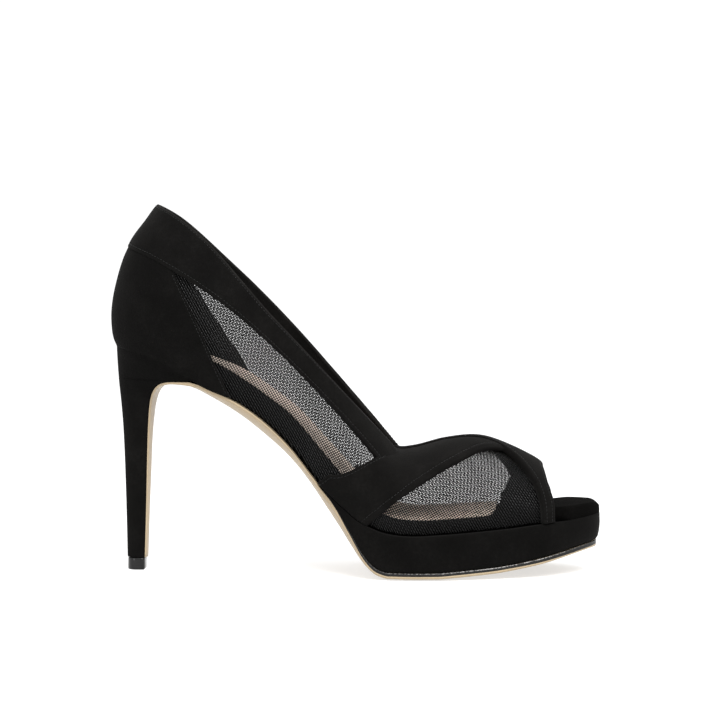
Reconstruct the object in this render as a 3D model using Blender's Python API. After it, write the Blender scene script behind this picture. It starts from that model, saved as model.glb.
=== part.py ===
"""Platform pump for the right foot: a suede counter, collar band and two crossed straps over net
panels, on a platform sole with a slender heel. Tables are in millimetres; the toe points along +X,
the lateral side along -Y, and the shoe stands on Z = 0."""

import bpy
import bmesh
import numpy as np

MILLIMETRE = 0.001
ORIGIN_X = -0.53
ORIGIN_Y = 0.67

# Clearance between pieces that touch
GAP = 0.3

# Sizes of the last
HEEL_ROUND = 30.0
SEAT_BACK = -106.9
TOE_END = 107.2
TOE_ROUND_START = 78.0
BELLY_GIRTH = 12.0

# Layers, measured outward from the skin of the last
COUNTER_LAYER = (-1.1, 0.0)
BAND_LAYER = (-1.4, 0.5)
UNDER_STRAP_LAYER = (-1.7, 0.85)
OVER_STRAP_LAYER = (-2.0, 1.25)
MESH_LAYER = (-2.9, -2.4)

# Net panels run this far behind the suede
MESH_LAP = 4.0
BAND_LAP = 4.0
VAMP_MESH_GIRTH = 81.0

# Sole and heel
PLATFORM_GROW = 1.2
PLATFORM_START = -13.0
TOE_TUCK = 1.2
TREAD_FLAT = 0.45
INSOLE_INSET = 3.3
INSOLE_TOE_GROW = 0.9
PAD_EDGE = 5.1
PAD_SPREADS = (1.0, 0.6, 0.1)
SOCK_INSET = 1.4
SOCK_THICKNESS = 1.0
SOCK_FRONT = 62.5
SOCK_FRONT_ROUND = 5.0
SOCK_FORE_INSET = 3.5
TIP_HEIGHT = 5.3
SEAT_HALF = 25.4


def table(columns, *rows):
    """A table with named columns and a row per section."""
    data = np.array(rows, dtype=float)
    return {name: data[:, place] for place, name in enumerate(columns)}


# Sections of the last from heel to toe. Half widths are measured from the centre line.
LAST = table(
    ("x", "bottom", "half_lateral", "half_medial", "belly_lateral", "belly_medial", "belly_at",
     "ridge", "centre"),
    (-112.0, 101.2, 25.5, 25.5, 27.0, 27.0, 0.25, 186.0, 0.0),
    (-100.0, 98.2, 25.5, 25.5, 27.0, 27.0, 0.25, 182.0, 0.0),
    (-88.0, 94.3, 25.5, 25.5, 27.0, 27.0, 0.26, 179.0, 0.0),
    (-76.0, 88.6, 25.3, 25.2, 27.0, 27.0, 0.28, 176.0, 0.0),
    (-64.0, 82.4, 24.6, 24.2, 26.8, 26.6, 0.30, 170.0, 0.0),
    (-52.0, 77.1, 24.0, 22.3, 27.0, 26.0, 0.34, 162.5, 0.2),
    (-40.0, 68.8, 23.8, 20.8, 27.8, 26.0, 0.36, 152.0, 0.5),
    (-28.0, 57.3, 25.0, 21.0, 28.6, 26.2, 0.35, 139.0, 0.9),
    (-15.0, 41.7, 29.3, 22.8, 31.0, 27.2, 0.30, 113.0, 1.3),
    (-5.0, 32.3, 32.6, 26.2, 33.6, 29.2, 0.24, 94.5, 1.7),
    (5.0, 24.6, 36.2, 30.0, 36.8, 31.5, 0.20, 76.0, 2.0),
    (12.0, 21.4, 38.3, 31.6, 38.8, 32.4, 0.18, 65.4, 2.3),
    (18.3, 20.0, 39.6, 32.8, 40.0, 33.4, 0.17, 56.6, 2.6),
    (25.0, 19.5, 40.6, 34.0, 41.0, 34.6, 0.16, 54.6, 2.9),
    (40.0, 20.1, 40.0, 35.6, 40.4, 36.2, 0.16, 58.1, 3.4),
    (55.0, 21.1, 36.9, 34.6, 37.3, 35.1, 0.16, 59.1, 3.9),
    (70.0, 22.3, 32.4, 31.6, 32.8, 32.0, 0.16, 54.0, 4.3),
    (82.0, 23.7, 29.2, 29.0, 29.5, 29.3, 0.16, 47.9, 4.6),
    (92.0, 24.8, 26.2, 26.2, 26.4, 26.4, 0.16, 41.0, 4.8),
    (100.0, 25.7, 23.2, 23.2, 23.4, 23.4, 0.16, 35.5, 5.0),
    (107.2, 26.6, 20.4, 20.4, 20.5, 20.5, 0.16, 31.0, 5.0),
)

# Ridge of the vamp under the straps, and the power of its section: below 1 the top is flatter
VAMP = table(
    ("x", "ridge", "power"),
    (-15.0, 71.0, 0.60),
    (-5.0, 65.6, 0.60),
    (5.0, 59.8, 0.58),
    (12.0, 56.0, 0.54),
    (18.3, 53.5, 0.62),
    (25.0, 54.2, 0.84),
    (40.0, 58.1, 1.0),
    (55.0, 59.1, 1.0),
    (70.0, 54.0, 1.0),
    (82.0, 47.9, 1.0),
    (92.0, 41.0, 1.0),
)

# Back seam of the counter
BACK = table(
    ("z", "x"),
    (95.0, -105.6),
    (100.2, -106.9),
    (103.5, -108.2),
    (109.5, -109.1),
    (115.0, -109.2),
    (120.5, -108.6),
    (127.5, -107.2),
    (134.5, -105.3),
    (141.5, -102.7),
    (148.5, -98.9),
    (156.0, -93.2),
    (163.1, -88.0),
    (170.0, -82.0),
)

# Collar band from the back seam to the throat: topline and lower edge as seen from the side, and
# how much lower the medial topline runs
COLLAR = table(
    ("high_x", "high_z", "low_x", "low_z", "medial_drop"),
    (-88.2, 163.1, -101.5, 144.2, 0.0),
    (-79.3, 158.3, -89.5, 139.8, 1.4),
    (-68.5, 149.3, -79.8, 134.7, 2.1),
    (-59.0, 139.6, -70.8, 129.3, 1.4),
    (-48.5, 128.8, -60.0, 122.0, 0.6),
    (-37.0, 116.8, -46.5, 111.4, 0.2),
    (-25.0, 104.1, -34.8, 101.0, 0.4),
    (-13.0, 91.1, -23.0, 89.6, 0.8),
    (-2.0, 78.8, -11.5, 77.9, 1.1),
    (6.5, 69.1, -2.2, 68.0, 0.9),
    (12.5, 62.1, 5.0, 59.9, 0.9),
    (16.0, 57.8, 10.6, 53.3, 0.8),
    (18.4, 54.8, 14.6, 48.4, 0.5),
)

# Front edge of the counter as seen from the side, on both sides of the heel
COUNTER_FRONT = table(
    ("z", "lateral", "medial"),
    (72.0, -51.2, -45.0),
    (78.0, -53.8, -46.8),
    (87.5, -58.0, -50.4),
    (109.4, -67.5, -64.3),
    (126.2, -75.2, -75.0),
    (137.5, -80.4, -82.0),
)

# One strap from its lateral foot over the ridge to its medial foot. Girth is the angle round the
# last: 0 at the lateral feather edge, 90 on the ridge, 180 at the medial feather edge. Tuck is how
# much further the under strap runs beneath the over strap, and short is how far its front edge
# stays behind the edge of the over strap. Dip is how much lower the rear edge of the over strap
# runs on the medial side.
STRAP = table(
    ("rear_x", "rear_girth", "front_x", "front_girth", "tuck", "short", "dip"),
    (-15.1, 0.0, 6.8, 0.0, 0.0, 0.0, 0.0),
    (-6.0, 22.5, 12.3, 13.5, 0.0, 0.0, 4.0),
    (1.8, 44.0, 19.3, 30.0, 0.0, 0.0, 6.0),
    (9.3, 65.0, 28.4, 40.5, 0.0, 0.0, 6.0),
    (13.8, 78.0, 38.5, 48.5, 0.0, 0.0, 5.0),
    (17.6, 89.0, 50.0, 59.0, 4.0, 0.0, 1.0),
    (40.0, 93.0, 62.0, 75.0, 8.0, 0.0, 0.0),
    (58.0, 95.0, 73.0, 85.5, 1.5, 0.0, 0.0),
    (66.0, 100.5, 81.6, 90.5, 0.0, 0.4, 0.0),
    (73.1, 113.5, 83.2, 107.0, 0.0, 1.4, 0.0),
    (79.5, 132.5, 85.4, 131.0, 0.0, 1.4, 0.0),
    (82.6, 155.0, 87.8, 151.0, 0.0, 1.0, 0.0),
    (83.2, 180.0, 88.4, 180.0, 0.0, 0.6, 0.0),
)

# Height of the footbed's edge above the feather edge, how much its middle is padded up, and how much
# lower its medial edge lies
FOOTBED = table(
    ("x", "edge", "crown", "tilt"),
    (-107.0, 6.0, 0.0, 0.4),
    (-85.0, 9.2, 0.0, 1.8),
    (-62.0, 12.4, 0.0, 2.2),
    (-49.0, 11.2, 0.0, 0.4),
    (-38.0, 11.7, 0.0, 0.0),
    (-28.0, 13.9, 0.0, 0.0),
    (-19.0, 15.4, 0.0, 0.0),
    (-11.0, 14.8, 0.1, 0.0),
    (-4.0, 12.8, 0.3, 0.0),
    (6.0, 9.3, 0.8, 0.0),
    (16.0, 6.7, 1.2, 0.0),
    (28.0, 5.5, 1.6, 0.0),
    (45.0, 5.2, 1.8, 0.0),
    (62.0, 5.2, 1.7, 0.0),
    (76.0, 5.6, 0.9, 0.0),
    (90.0, 6.0, 0.2, 0.0),
    (107.5, 5.4, 0.0, 0.0),
)

# Sole from the waist to the toe: underside height on the centre line, thickness square to the
# underside, height of its edge, and how far it stands outside the last
SOLE = table(
    ("x", "under", "thick", "edge", "grow"),
    (-68.0, 80.0, 6.0, 1.2, -1.6),
    (-60.0, 75.4, 6.0, 1.2, -1.4),
    (-50.0, 68.9, 6.0, 1.2, -1.2),
    (-40.0, 61.0, 6.0, 1.2, -1.2),
    (-30.0, 52.0, 6.0, 1.2, -1.2),
    (-22.0, 42.9, 6.0, 1.3, -1.0),
    (-15.0, 33.0, 4.3, 1.8, -0.8),
    (-8.0, 22.2, 5.6, 2.6, -0.4),
    (-2.0, 13.3, 5.5, 2.8, 0.2),
    (4.0, 5.8, 4.8, 2.8, 0.7),
    (9.0, 2.0, 3.9, 2.7, 0.9),
    (14.0, 0.3, 3.4, 2.5, 0.9),
    (20.0, -0.2, 3.3, 2.5, 0.9),
    (36.0, -0.2, 3.3, 2.5, 0.9),
    (44.0, 0.4, 3.3, 2.5, 0.9),
    (54.0, 1.2, 3.3, 2.5, 0.9),
    (64.0, 2.2, 3.2, 2.5, 0.9),
    (74.0, 3.8, 3.1, 2.4, 0.9),
    (84.0, 5.9, 3.0, 2.4, 0.8),
    (94.0, 8.4, 2.9, 2.3, 0.4),
    (102.0, 10.4, 2.8, 2.3, 0.0),
    (107.2, 11.5, 2.7, 2.3, -0.4),
)

# Front of the heel from its foot to the lip under the waist, with the thickness of the sole there
BREAST = table(
    ("x", "z", "sole_thick"),
    (-94.6, 5.6, 1.0),
    (-94.1, 20.0, 1.0),
    (-93.7, 32.0, 1.0),
    (-93.3, 45.0, 1.1),
    (-92.9, 57.0, 1.1),
    (-92.3, 67.0, 1.2),
    (-91.4, 75.0, 1.3),
    (-90.0, 79.8, 1.4),
    (-87.8, 82.9, 1.6),
    (-85.0, 84.5, 1.8),
    (-81.0, 85.3, 2.1),
    (-76.5, 85.6, 2.5),
    (-72.0, 85.8, 3.2),
)

# Back of the heel
HEEL_BACK = table(
    ("z", "x"),
    (5.0, -102.4),
    (20.0, -102.7),
    (40.0, -103.2),
    (55.0, -103.7),
    (65.0, -104.2),
    (75.0, -105.0),
    (85.0, -106.0),
    (93.0, -106.5),
    (100.0, -106.8),
)

# Share of the seat width kept at each depth below the seat
HEEL_FLARE = table(
    ("depth", "share"),
    (0.0, 1.0),
    (2.0, 0.965),
    (5.0, 0.88),
    (9.0, 0.74),
    (13.0, 0.59),
    (16.0, 0.51),
    (19.0, 0.455),
    (25.0, 0.385),
    (32.0, 0.325),
    (50.0, 0.265),
    (77.0, 0.20),
    (95.0, 0.19),
)

HEEL_LEVELS = (5.6, 20.0, 36.0, 50.0, 60.0, 68.0, 73.0, 77.0, 80.0, 82.2, 83.8, 84.9, 85.5, 85.8,
               87.2, 89.0, 91.2, 93.6, 96.0, 97.6, 98.8)

# Finish of each piece: base colour, roughness, metallic
FINISH = {
    "upper": ((0.012, 0.011, 0.011), 0.95, 0.0),
    "quarter_mesh_lateral": ((0.02, 0.02, 0.02), 0.8, 0.0),
    "quarter_mesh_medial": ((0.02, 0.02, 0.02), 0.8, 0.0),
    "vamp_mesh_lateral": ((0.02, 0.02, 0.02), 0.8, 0.0),
    "vamp_mesh_medial": ((0.02, 0.02, 0.02), 0.8, 0.0),
    "insole": ((0.015, 0.014, 0.014), 0.9, 0.0),
    "sock": ((0.55, 0.38, 0.27), 0.55, 0.0),
    "platform": ((0.012, 0.011, 0.011), 0.95, 0.0),
    "outsole": ((0.76, 0.62, 0.46), 0.45, 0.0),
    "heel": ((0.012, 0.011, 0.011), 0.95, 0.0),
    "heel_tip": ((0.02, 0.02, 0.02), 0.3, 0.0),
}


def follow(data, key, column, value):
    """Smooth curve through one column of a table, read along another."""
    marks = data[key]
    heights = data[column]
    slopes = np.gradient(heights, marks)
    value = np.clip(np.asarray(value, dtype=float), marks[0], marks[-1])
    cell = np.clip(np.searchsorted(marks, value) - 1, 0, len(marks) - 2)
    width = marks[cell + 1] - marks[cell]
    t = (value - marks[cell]) / width
    return ((1 + 2 * t) * (1 - t) ** 2 * heights[cell]
            + t * (1 - t) ** 2 * width * slopes[cell]
            + t ** 2 * (3 - 2 * t) * heights[cell + 1]
            + t ** 2 * (t - 1) * width * slopes[cell + 1])


def along_rows(values, place):
    """Smooth curve through a list of values, read by row number."""
    rows = {"row": np.arange(len(values), dtype=float), "value": np.asarray(values, dtype=float)}
    return follow(rows, "row", "value", place)


def by_side(side, lateral, medial):
    return np.where(side < 0, lateral, medial)


def bottom(x):
    return follow(LAST, "x", "bottom", x)


def ridge(x):
    return follow(LAST, "x", "ridge", x)


def centre(x):
    return follow(LAST, "x", "centre", x)


def toe_cap(x):
    t = np.clip((np.asarray(x) - TOE_ROUND_START) / (TOE_END - TOE_ROUND_START), 0.0, 1.0)
    return np.sqrt(1.0 - t ** 2)


def column_by_side(name, x, side):
    lateral = follow(LAST, "x", name + "_lateral", x)
    medial = follow(LAST, "x", name + "_medial", x)
    return by_side(side, lateral, medial) * toe_cap(x)


def heel_reach(turn):
    """Distance ahead of the back seam for an angle round the heel."""
    return HEEL_ROUND * np.where(turn < np.pi / 2, 1 - np.cos(turn), 1 + turn - np.pi / 2)


def heel_turn(reach):
    """Angle round the heel for a distance ahead of the back seam."""
    share = np.maximum(np.asarray(reach, dtype=float) / HEEL_ROUND, 0.0)
    return np.where(share < 1, np.arccos(np.clip(1 - share, -1, 1)), np.pi / 2 + share - 1)


def back(z):
    return follow(BACK, "z", "x", z)


def quarter_point(turn, z, side):
    """Point of the skin behind the throat, by angle round the heel and height."""
    x = back(z) + heel_reach(turn)
    share = np.clip((z - bottom(x)) / (ridge(x) - bottom(x)), 0.0, 1.0)
    belly_at = follow(LAST, "x", "belly_at", x)
    feather = column_by_side("half", x, side)
    belly = column_by_side("belly", x, side)
    low = feather + (belly - feather) * np.sin(np.pi / 2 * np.clip(share / belly_at, 0, 1))
    rise = np.clip((share - belly_at) / (1 - belly_at), 0, 1)
    half = np.where(share < belly_at, low, belly * np.sqrt(1 - rise ** 2))
    y = centre(x) + side * half * np.sin(np.minimum(turn, np.pi / 2))
    return np.stack([x, y, z + 0 * x], axis=-1)


def vamp_point(x, girth):
    """Point of the skin by length and by angle round the last."""
    side = np.where(girth < 90, -1.0, 1.0)
    angle = np.where(girth < 90, girth, 180 - girth)
    belly_at = follow(LAST, "x", "belly_at", x)
    feather = column_by_side("half", x, side)
    belly = column_by_side("belly", x, side)
    low_share = np.clip(angle / BELLY_GIRTH, 0, 1)
    low = feather + (belly - feather) * np.sin(np.pi / 2 * low_share)
    power = follow(VAMP, "x", "power", x)
    rise = np.clip((angle - BELLY_GIRTH) / (90 - BELLY_GIRTH), 0, 1)
    climb = np.pi / 2 * rise ** (1 / power)
    share = np.where(angle < BELLY_GIRTH, belly_at * low_share,
                     belly_at + (1 - belly_at) * np.sin(climb) ** power)
    half = np.where(angle < BELLY_GIRTH, low, belly * np.maximum(np.cos(climb), 0) ** power)
    z = bottom(x) + share * (follow(VAMP, "x", "ridge", x) - bottom(x))
    return np.stack([x + 0 * z, centre(x) + side * half, z], axis=-1)


def outward(grid):
    """Unit normals of a grid of points, pointing out of the shoe."""
    normal = np.cross(np.gradient(grid, axis=0), np.gradient(grid, axis=1))
    normal = normal / np.linalg.norm(normal, axis=-1, keepdims=True)
    middle = np.array([grid[..., 0].mean(), 0.0, grid[..., 2].mean() - 15.0])
    if np.sum(normal * (grid - middle)) < 0:
        normal = -normal
    return normal


def layer_grids(grid, layer):
    """Inner and outer grids of a layer over the skin, kept above the feather edge."""
    normal = outward(grid)
    grids = []
    for height in layer:
        moved = grid + normal * height
        moved[..., 2] = np.maximum(moved[..., 2], bottom(moved[..., 0]))
        grids.append(moved)
    return grids


def finish_material(name):
    colour, roughness, metallic = FINISH[name]
    material = bpy.data.materials.new(name + "_finish")
    material.use_nodes = True
    shader = material.node_tree.nodes["Principled BSDF"]
    shader.inputs["Base Color"].default_value = (*colour, 1.0)
    shader.inputs["Roughness"].default_value = roughness
    shader.inputs["Metallic"].default_value = metallic
    return material


def add_solid(name, points, faces, collection, finish=None):
    """Mesh object from millimetre points, with its faces turned outward."""
    shifted = (np.asarray(points, dtype=float) - (ORIGIN_X, ORIGIN_Y, 0.0)) * MILLIMETRE
    mesh = bpy.data.meshes.new(name)
    mesh.from_pydata([tuple(point) for point in shifted], [], faces)
    work = bmesh.new()
    work.from_mesh(mesh)
    bmesh.ops.triangulate(work, faces=work.faces)
    bmesh.ops.recalc_face_normals(work, faces=work.faces)
    if work.calc_volume(signed=True) < 0:
        bmesh.ops.reverse_faces(work, faces=work.faces)
    work.to_mesh(mesh)
    work.free()
    mesh.polygons.foreach_set("use_smooth", [True] * len(mesh.polygons))
    mesh.set_sharp_from_angle(angle=np.radians(35))
    piece = bpy.data.objects.new(name, mesh)
    if finish:
        mesh.materials.append(finish_material(finish))
    collection.objects.link(piece)
    return piece


def panel(name, grid, layer, collection, finish=None):
    """Closed sheet of even thickness cut from the skin."""
    inner, outer = layer_grids(grid, layer)
    rows, columns = grid.shape[:2]
    count = rows * columns
    points = np.concatenate([outer.reshape(-1, 3), inner.reshape(-1, 3)])
    faces = []
    for i in range(rows - 1):
        for j in range(columns - 1):
            a = i * columns + j
            faces.append((a, a + 1, a + columns + 1, a + columns))
            faces.append((count + a, count + a + columns, count + a + columns + 1, count + a + 1))
    rim = [j for j in range(columns)]
    rim += [i * columns + columns - 1 for i in range(1, rows)]
    rim += [(rows - 1) * columns + j for j in range(columns - 2, -1, -1)]
    rim += [i * columns for i in range(rows - 2, 0, -1)]
    for a, b in zip(rim, rim[1:] + rim[:1]):
        faces.append((a, b, count + b, count + a))
    return add_solid(name, points, faces, collection, finish)


def loft(name, sections, collection, finish=None):
    """Closed body through a row of sections with equal point counts."""
    sections = [np.asarray(section, dtype=float) for section in sections]
    size = len(sections[0])
    points = np.concatenate(sections)
    faces = []
    for k in range(len(sections) - 1):
        for j in range(size):
            a = k * size + j
            b = k * size + (j + 1) % size
            faces.append((a, b, b + size, a + size))
    faces.append(tuple(range(size)))
    faces.append(tuple(range(len(points) - size, len(points))))
    return add_solid(name, points, faces, collection, finish)


def slab(name, rings, collection, finish=None):
    """Closed body from stacked outlines; each ring has a lateral and a medial run of points."""
    run = len(rings[0][0])
    loops = [np.concatenate([left, right[::-1]]) for left, right in rings]
    size = 2 * run
    points = np.concatenate(loops)
    faces = []
    for k in range(len(loops) - 1):
        for j in range(size):
            a = k * size + j
            b = k * size + (j + 1) % size
            faces.append((a, b, b + size, a + size))
    for start in (0, (len(loops) - 1) * size):
        for j in range(run - 1):
            far = start + size - 1 - j
            faces.append((start + j, start + j + 1, far - 1, far))
    return add_solid(name, points, faces, collection, finish)


def outline(stations, grow):
    """Lateral and medial plan edges of the last, moved out by grow at each station."""
    runs = []
    for side in (-1.0, 1.0):
        turn = np.minimum(heel_turn(stations - SEAT_BACK), np.pi / 2)
        half = column_by_side("half", stations, side) * np.sin(turn)
        edge = np.stack([stations, centre(stations) + side * half], axis=-1)
        run = np.gradient(edge, axis=0)
        run = run / np.linalg.norm(run, axis=-1, keepdims=True)
        normal = np.stack([-run[:, 1], run[:, 0]], axis=-1) * side
        normal[:, 0] *= np.clip((np.abs(stations) - 65.0) / 15.0, 0, 1)
        runs.append(edge + normal * np.asarray(grow)[..., None])
    return runs


def raised(runs, height):
    """Outline runs lifted to a height that follows the length."""
    return [np.column_stack([run, height(run[:, 0])]) for run in runs]


def drawn_in(runs, spread):
    """Outline runs drawn towards the centre line."""
    inner = []
    for run in runs:
        middle = centre(run[:, 0])
        inner.append(np.column_stack([run[:, 0], middle + spread * (run[:, 1] - middle)]))
    return inner


def padded_rings(runs, lift):
    """Rings over the padded top of the footbed, from its edge to near the centre line."""
    rings = []
    for share in PAD_SPREADS:
        ring = []
        for run, side in zip(drawn_in(runs, share), (-1.0, 1.0)):
            x = run[:, 0]
            half = np.maximum(column_by_side("half", x, side) - PAD_EDGE, 1.0)
            spread = np.clip(side * (run[:, 1] - centre(x)) / half, 0, 1)
            ring.append(np.column_stack([run, footbed_top(x, side, spread) + lift]))
        rings.append(ring)
    return rings


def collar_grid(first, last, columns, rows):
    """Grid of the collar between shares of its height, right round the back of the heel."""
    places = np.linspace(-(len(COLLAR["low_x"]) - 1), len(COLLAR["low_x"]) - 1, columns)
    side = np.where(places < 0, -1.0, 1.0)
    shares = np.linspace(first, last, rows)[:, None]
    edges = []
    for level in ("low", "high"):
        lateral = collar_edge(level, -1.0, np.abs(places))
        medial = collar_edge(level, 1.0, np.abs(places))
        edges.append([by_side(side, lateral[0], medial[0]), by_side(side, lateral[1], medial[1])])
    (low_turn, low_z), (high_turn, high_z) = edges
    turn = low_turn + shares * (high_turn - low_turn)
    z = low_z + shares * (high_z - low_z)
    return quarter_point(turn, z, side + 0 * z)


def collar_edge(level, side, place):
    """Turn and height of the collar's topline or lower edge on one side, at a row number."""
    last = len(COLLAR["low_x"]) - 1
    rows = np.linspace(0, last, 60 * last + 1)
    x = along_rows(COLLAR[level + "_x"], rows)
    z = along_rows(COLLAR[level + "_z"], rows)
    if level == "high" and side > 0:
        z = z - along_rows(COLLAR["medial_drop"], rows)
    turn = np.maximum.accumulate(heel_turn(x - back(z)))
    turn[0] = 0.0
    marks = turn[::60]
    at = along_rows(np.concatenate([-marks[:0:-1], marks]), np.asarray(place) + last)
    return at, np.interp(at, turn, z)


def collar_low(place):
    """Turn and height of the collar's lower edge at a row number."""
    return collar_edge("low", -1.0, place)


def counter_grid(columns, rows):
    """Grid of the counter from the feather edge to a lap under the collar band."""
    shares = np.linspace(-1.0, 1.0, columns)
    side = np.where(shares < 0, -1.0, 1.0)
    low_turn = heel_turn(by_side(side, -53.8, -45.6) - SEAT_BACK) * np.abs(shares)
    low_x = SEAT_BACK + heel_reach(low_turn)
    low_z = bottom(low_x)
    band_turn, band_z = collar_low(np.linspace(0, 2.2, 40))
    high_turn = heel_turn(by_side(side, -80.4, -82.0) - back(137.5)) * np.abs(shares)
    high_z = np.interp(high_turn, band_turn, band_z) + BAND_LAP
    grid = []
    for t in np.linspace(0.0, 1.0, rows):
        z = low_z + t * (high_z - low_z)
        ends = []
        for word, edge_z in (("lateral", z[0]), ("medial", z[-1])):
            ends.append(heel_turn(follow(COUNTER_FRONT, "z", word, edge_z) - back(edge_z)))
        grid.append(quarter_point(by_side(side, *ends) * np.abs(shares), z, side))
    return np.array(grid)


def strap_grid(stations, across, mirrored):
    """Grid of one strap; the mirrored one starts at the medial side."""
    place = np.linspace(0, len(STRAP["rear_x"]) - 1, stations)
    t = np.linspace(0.0, 1.0, across)
    rear = along_rows(STRAP["rear_x"], place)[:, None]
    front = along_rows(STRAP["front_x"], place)[:, None]
    rear_girth = along_rows(STRAP["rear_girth"], place)[:, None]
    front_girth = along_rows(STRAP["front_girth"], place)[:, None]
    if not mirrored:
        rear_girth = rear_girth + along_rows(STRAP["tuck"], place)[:, None]
        front = front - along_rows(STRAP["short"], place)[:, None]
    else:
        rear_girth = rear_girth - along_rows(STRAP["dip"], place)[:, None]
    x = rear + t * (front - rear)
    girth = np.clip(rear_girth + t * (front_girth - rear_girth), 0.0, 180.0)
    if mirrored:
        girth = 180.0 - girth
    return vamp_point(x, girth)


def vamp_mesh_grid(side, rows, columns):
    """Grid of a vamp net panel between the two straps on one side."""
    girth = np.linspace(0.0, VAMP_MESH_GIRTH, rows)
    place = np.linspace(0, 7, 60)
    rear = np.interp(girth, along_rows(STRAP["front_girth"], place),
                     along_rows(STRAP["front_x"], place)) - MESH_LAP
    place = np.linspace(12, 7, 60)
    front = np.interp(girth, 180 - along_rows(STRAP["rear_girth"], place),
                      along_rows(STRAP["rear_x"], place)) + MESH_LAP * 0.75
    x = rear[:, None] + np.linspace(0, 1, columns) * (front - rear)[:, None]
    spread = girth[:, None] + 0 * x
    return vamp_point(x, spread if side < 0 else 180 - spread)


def quarter_mesh_grid(side, rows, columns):
    """Grid of a quarter net panel from the feather edge to a lap under the collar band."""
    share = np.linspace(0.0, 1.0, columns)
    low_x = -58.0 + share * 47.5
    low_z = bottom(low_x)
    low_turn = heel_turn(low_x - back(low_z))
    high_turn, high_z = collar_low(1.7 + share * 10.2)
    lift = 0.28 * MESH_LAP
    high_z = high_z + lift
    t = np.linspace(0.0, 1.0, rows)[:, None]
    x_low = back(low_z) + heel_reach(low_turn)
    x_high = back(high_z) + heel_reach(high_turn) + lift
    x = x_low + t * (x_high - x_low)
    z = low_z + t * (high_z - low_z)
    return quarter_point(heel_turn(x - back(z)), z, side + 0 * z)


def sole_top(x):
    """Upper side of the sole: against the upper at the waist, lower under the platform."""
    under = sole_under(x)
    slope = (sole_under(x + 0.5) - sole_under(x - 0.5))
    lift = follow(SOLE, "x", "thick", x) * np.sqrt(1 + slope ** 2)
    return np.minimum(bottom(x) - GAP, under + lift)


def sole_under(x):
    return np.maximum(follow(SOLE, "x", "under", x), 0.0)


def footbed_top(x, side, spread=1.0):
    """Top of the footbed; spread is 0 on the centre line and 1 at the edge."""
    crown = follow(FOOTBED, "x", "crown", x) * (1 - spread ** 2)
    tilt = follow(FOOTBED, "x", "tilt", x) * (1 + side * spread) / 2
    return bottom(x) + follow(FOOTBED, "x", "edge", x) + crown - tilt


def footbed_edge(runs, drop):
    """Outline runs lifted to a depth below the edge of the footbed."""
    return [np.column_stack([run, footbed_top(run[:, 0], side) - drop])
            for run, side in zip(runs, (-1.0, 1.0))]


def sole_run(start):
    """Stations along the sole, close together where it bends down to the tread and at the toe."""
    toe = 76.0 + (TOE_END - 76.0) * np.sin(np.pi / 2 * np.linspace(0, 1, 13))[:12]
    run = np.concatenate([np.arange(-68.0, -41.0, 7.0), np.arange(-37.0, -20.0, 4.0),
                          np.arange(-18.0, 16.0, 2.4),
                          np.arange(18.0, 74.0, 5.0), toe])
    return run[run >= start]


def footbed_run(start, end):
    """Stations close together at both rounded ends and along the waist, without the end points."""
    curve = 1 - np.cos(np.pi / 2 * np.linspace(0, 1, 9)[1:])
    middle = np.concatenate([np.arange(start + 24.0, -42.0, 7.5), np.arange(-40.0, 14.0, 4.0),
                             np.arange(16.0, end - 20.0, 7.5)])
    return np.concatenate([start + 18.0 * curve, middle, end - 16.0 * curve[::-1]])


def build_upper(parts, cutters):
    body = panel("upper", counter_grid(29, 7), COUNTER_LAYER, parts, "upper")
    joined = (
        panel("band_form", collar_grid(0.0, 1.0, 55, 5), BAND_LAYER, cutters),
        panel("under_strap_form", strap_grid(35, 7, False), UNDER_STRAP_LAYER, cutters),
        panel("over_strap_form", strap_grid(35, 7, True), OVER_STRAP_LAYER, cutters),
    )
    for form in joined:
        form.hide_render = True
        form.display_type = "WIRE"
        join = body.modifiers.new("join_" + form.name, "BOOLEAN")
        join.operation = "UNION"
        join.solver = "EXACT"
        join.object = form
    return body


def build_mesh_panels(parts):
    for side, word in ((-1.0, "lateral"), (1.0, "medial")):
        name = "quarter_mesh_" + word
        panel(name, quarter_mesh_grid(side, 9, 17), MESH_LAYER, parts, name)
        name = "vamp_mesh_" + word
        panel(name, vamp_mesh_grid(side, 13, 11), MESH_LAYER, parts, name)


def build_insole(parts):
    stations = footbed_run(SEAT_BACK + 0.1, TOE_END - 0.05)
    ease = np.clip((stations - 89.5) / 5.0, 0, 1)
    ease = ease ** 2 * (3 - 2 * ease)
    grow = -INSOLE_INSET + ease * (INSOLE_INSET + INSOLE_TOE_GROW)
    rings = [
        raised(outline(stations, grow), bottom),
        footbed_edge(outline(stations, grow), 1.6),
        footbed_edge(outline(stations, grow - 0.6), 0.5),
    ]
    rings += padded_rings(outline(stations, grow - 1.8), 0.0)
    slab("insole", rings, parts, "insole")


def build_sock(parts):
    stations = footbed_run(SEAT_BACK + INSOLE_INSET + 2.2, SOCK_FRONT)
    fore = np.clip((stations - 5.0) / 25.0, 0, 1)
    fore = fore ** 2 * (3 - 2 * fore) * SOCK_FORE_INSET
    runs = outline(stations, -INSOLE_INSET - SOCK_INSET - fore)
    close = np.clip((stations - SOCK_FRONT + SOCK_FRONT_ROUND) / SOCK_FRONT_ROUND, 0, 1)
    for run in runs:
        middle = centre(stations)
        run[:, 1] = middle + (run[:, 1] - middle) * (1 - close ** 3.2) ** (1 / 3.2)
    rings = padded_rings(runs, GAP)[::-1] + padded_rings(runs, GAP + SOCK_THICKNESS)
    slab("sock", rings, parts, "sock")


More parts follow.
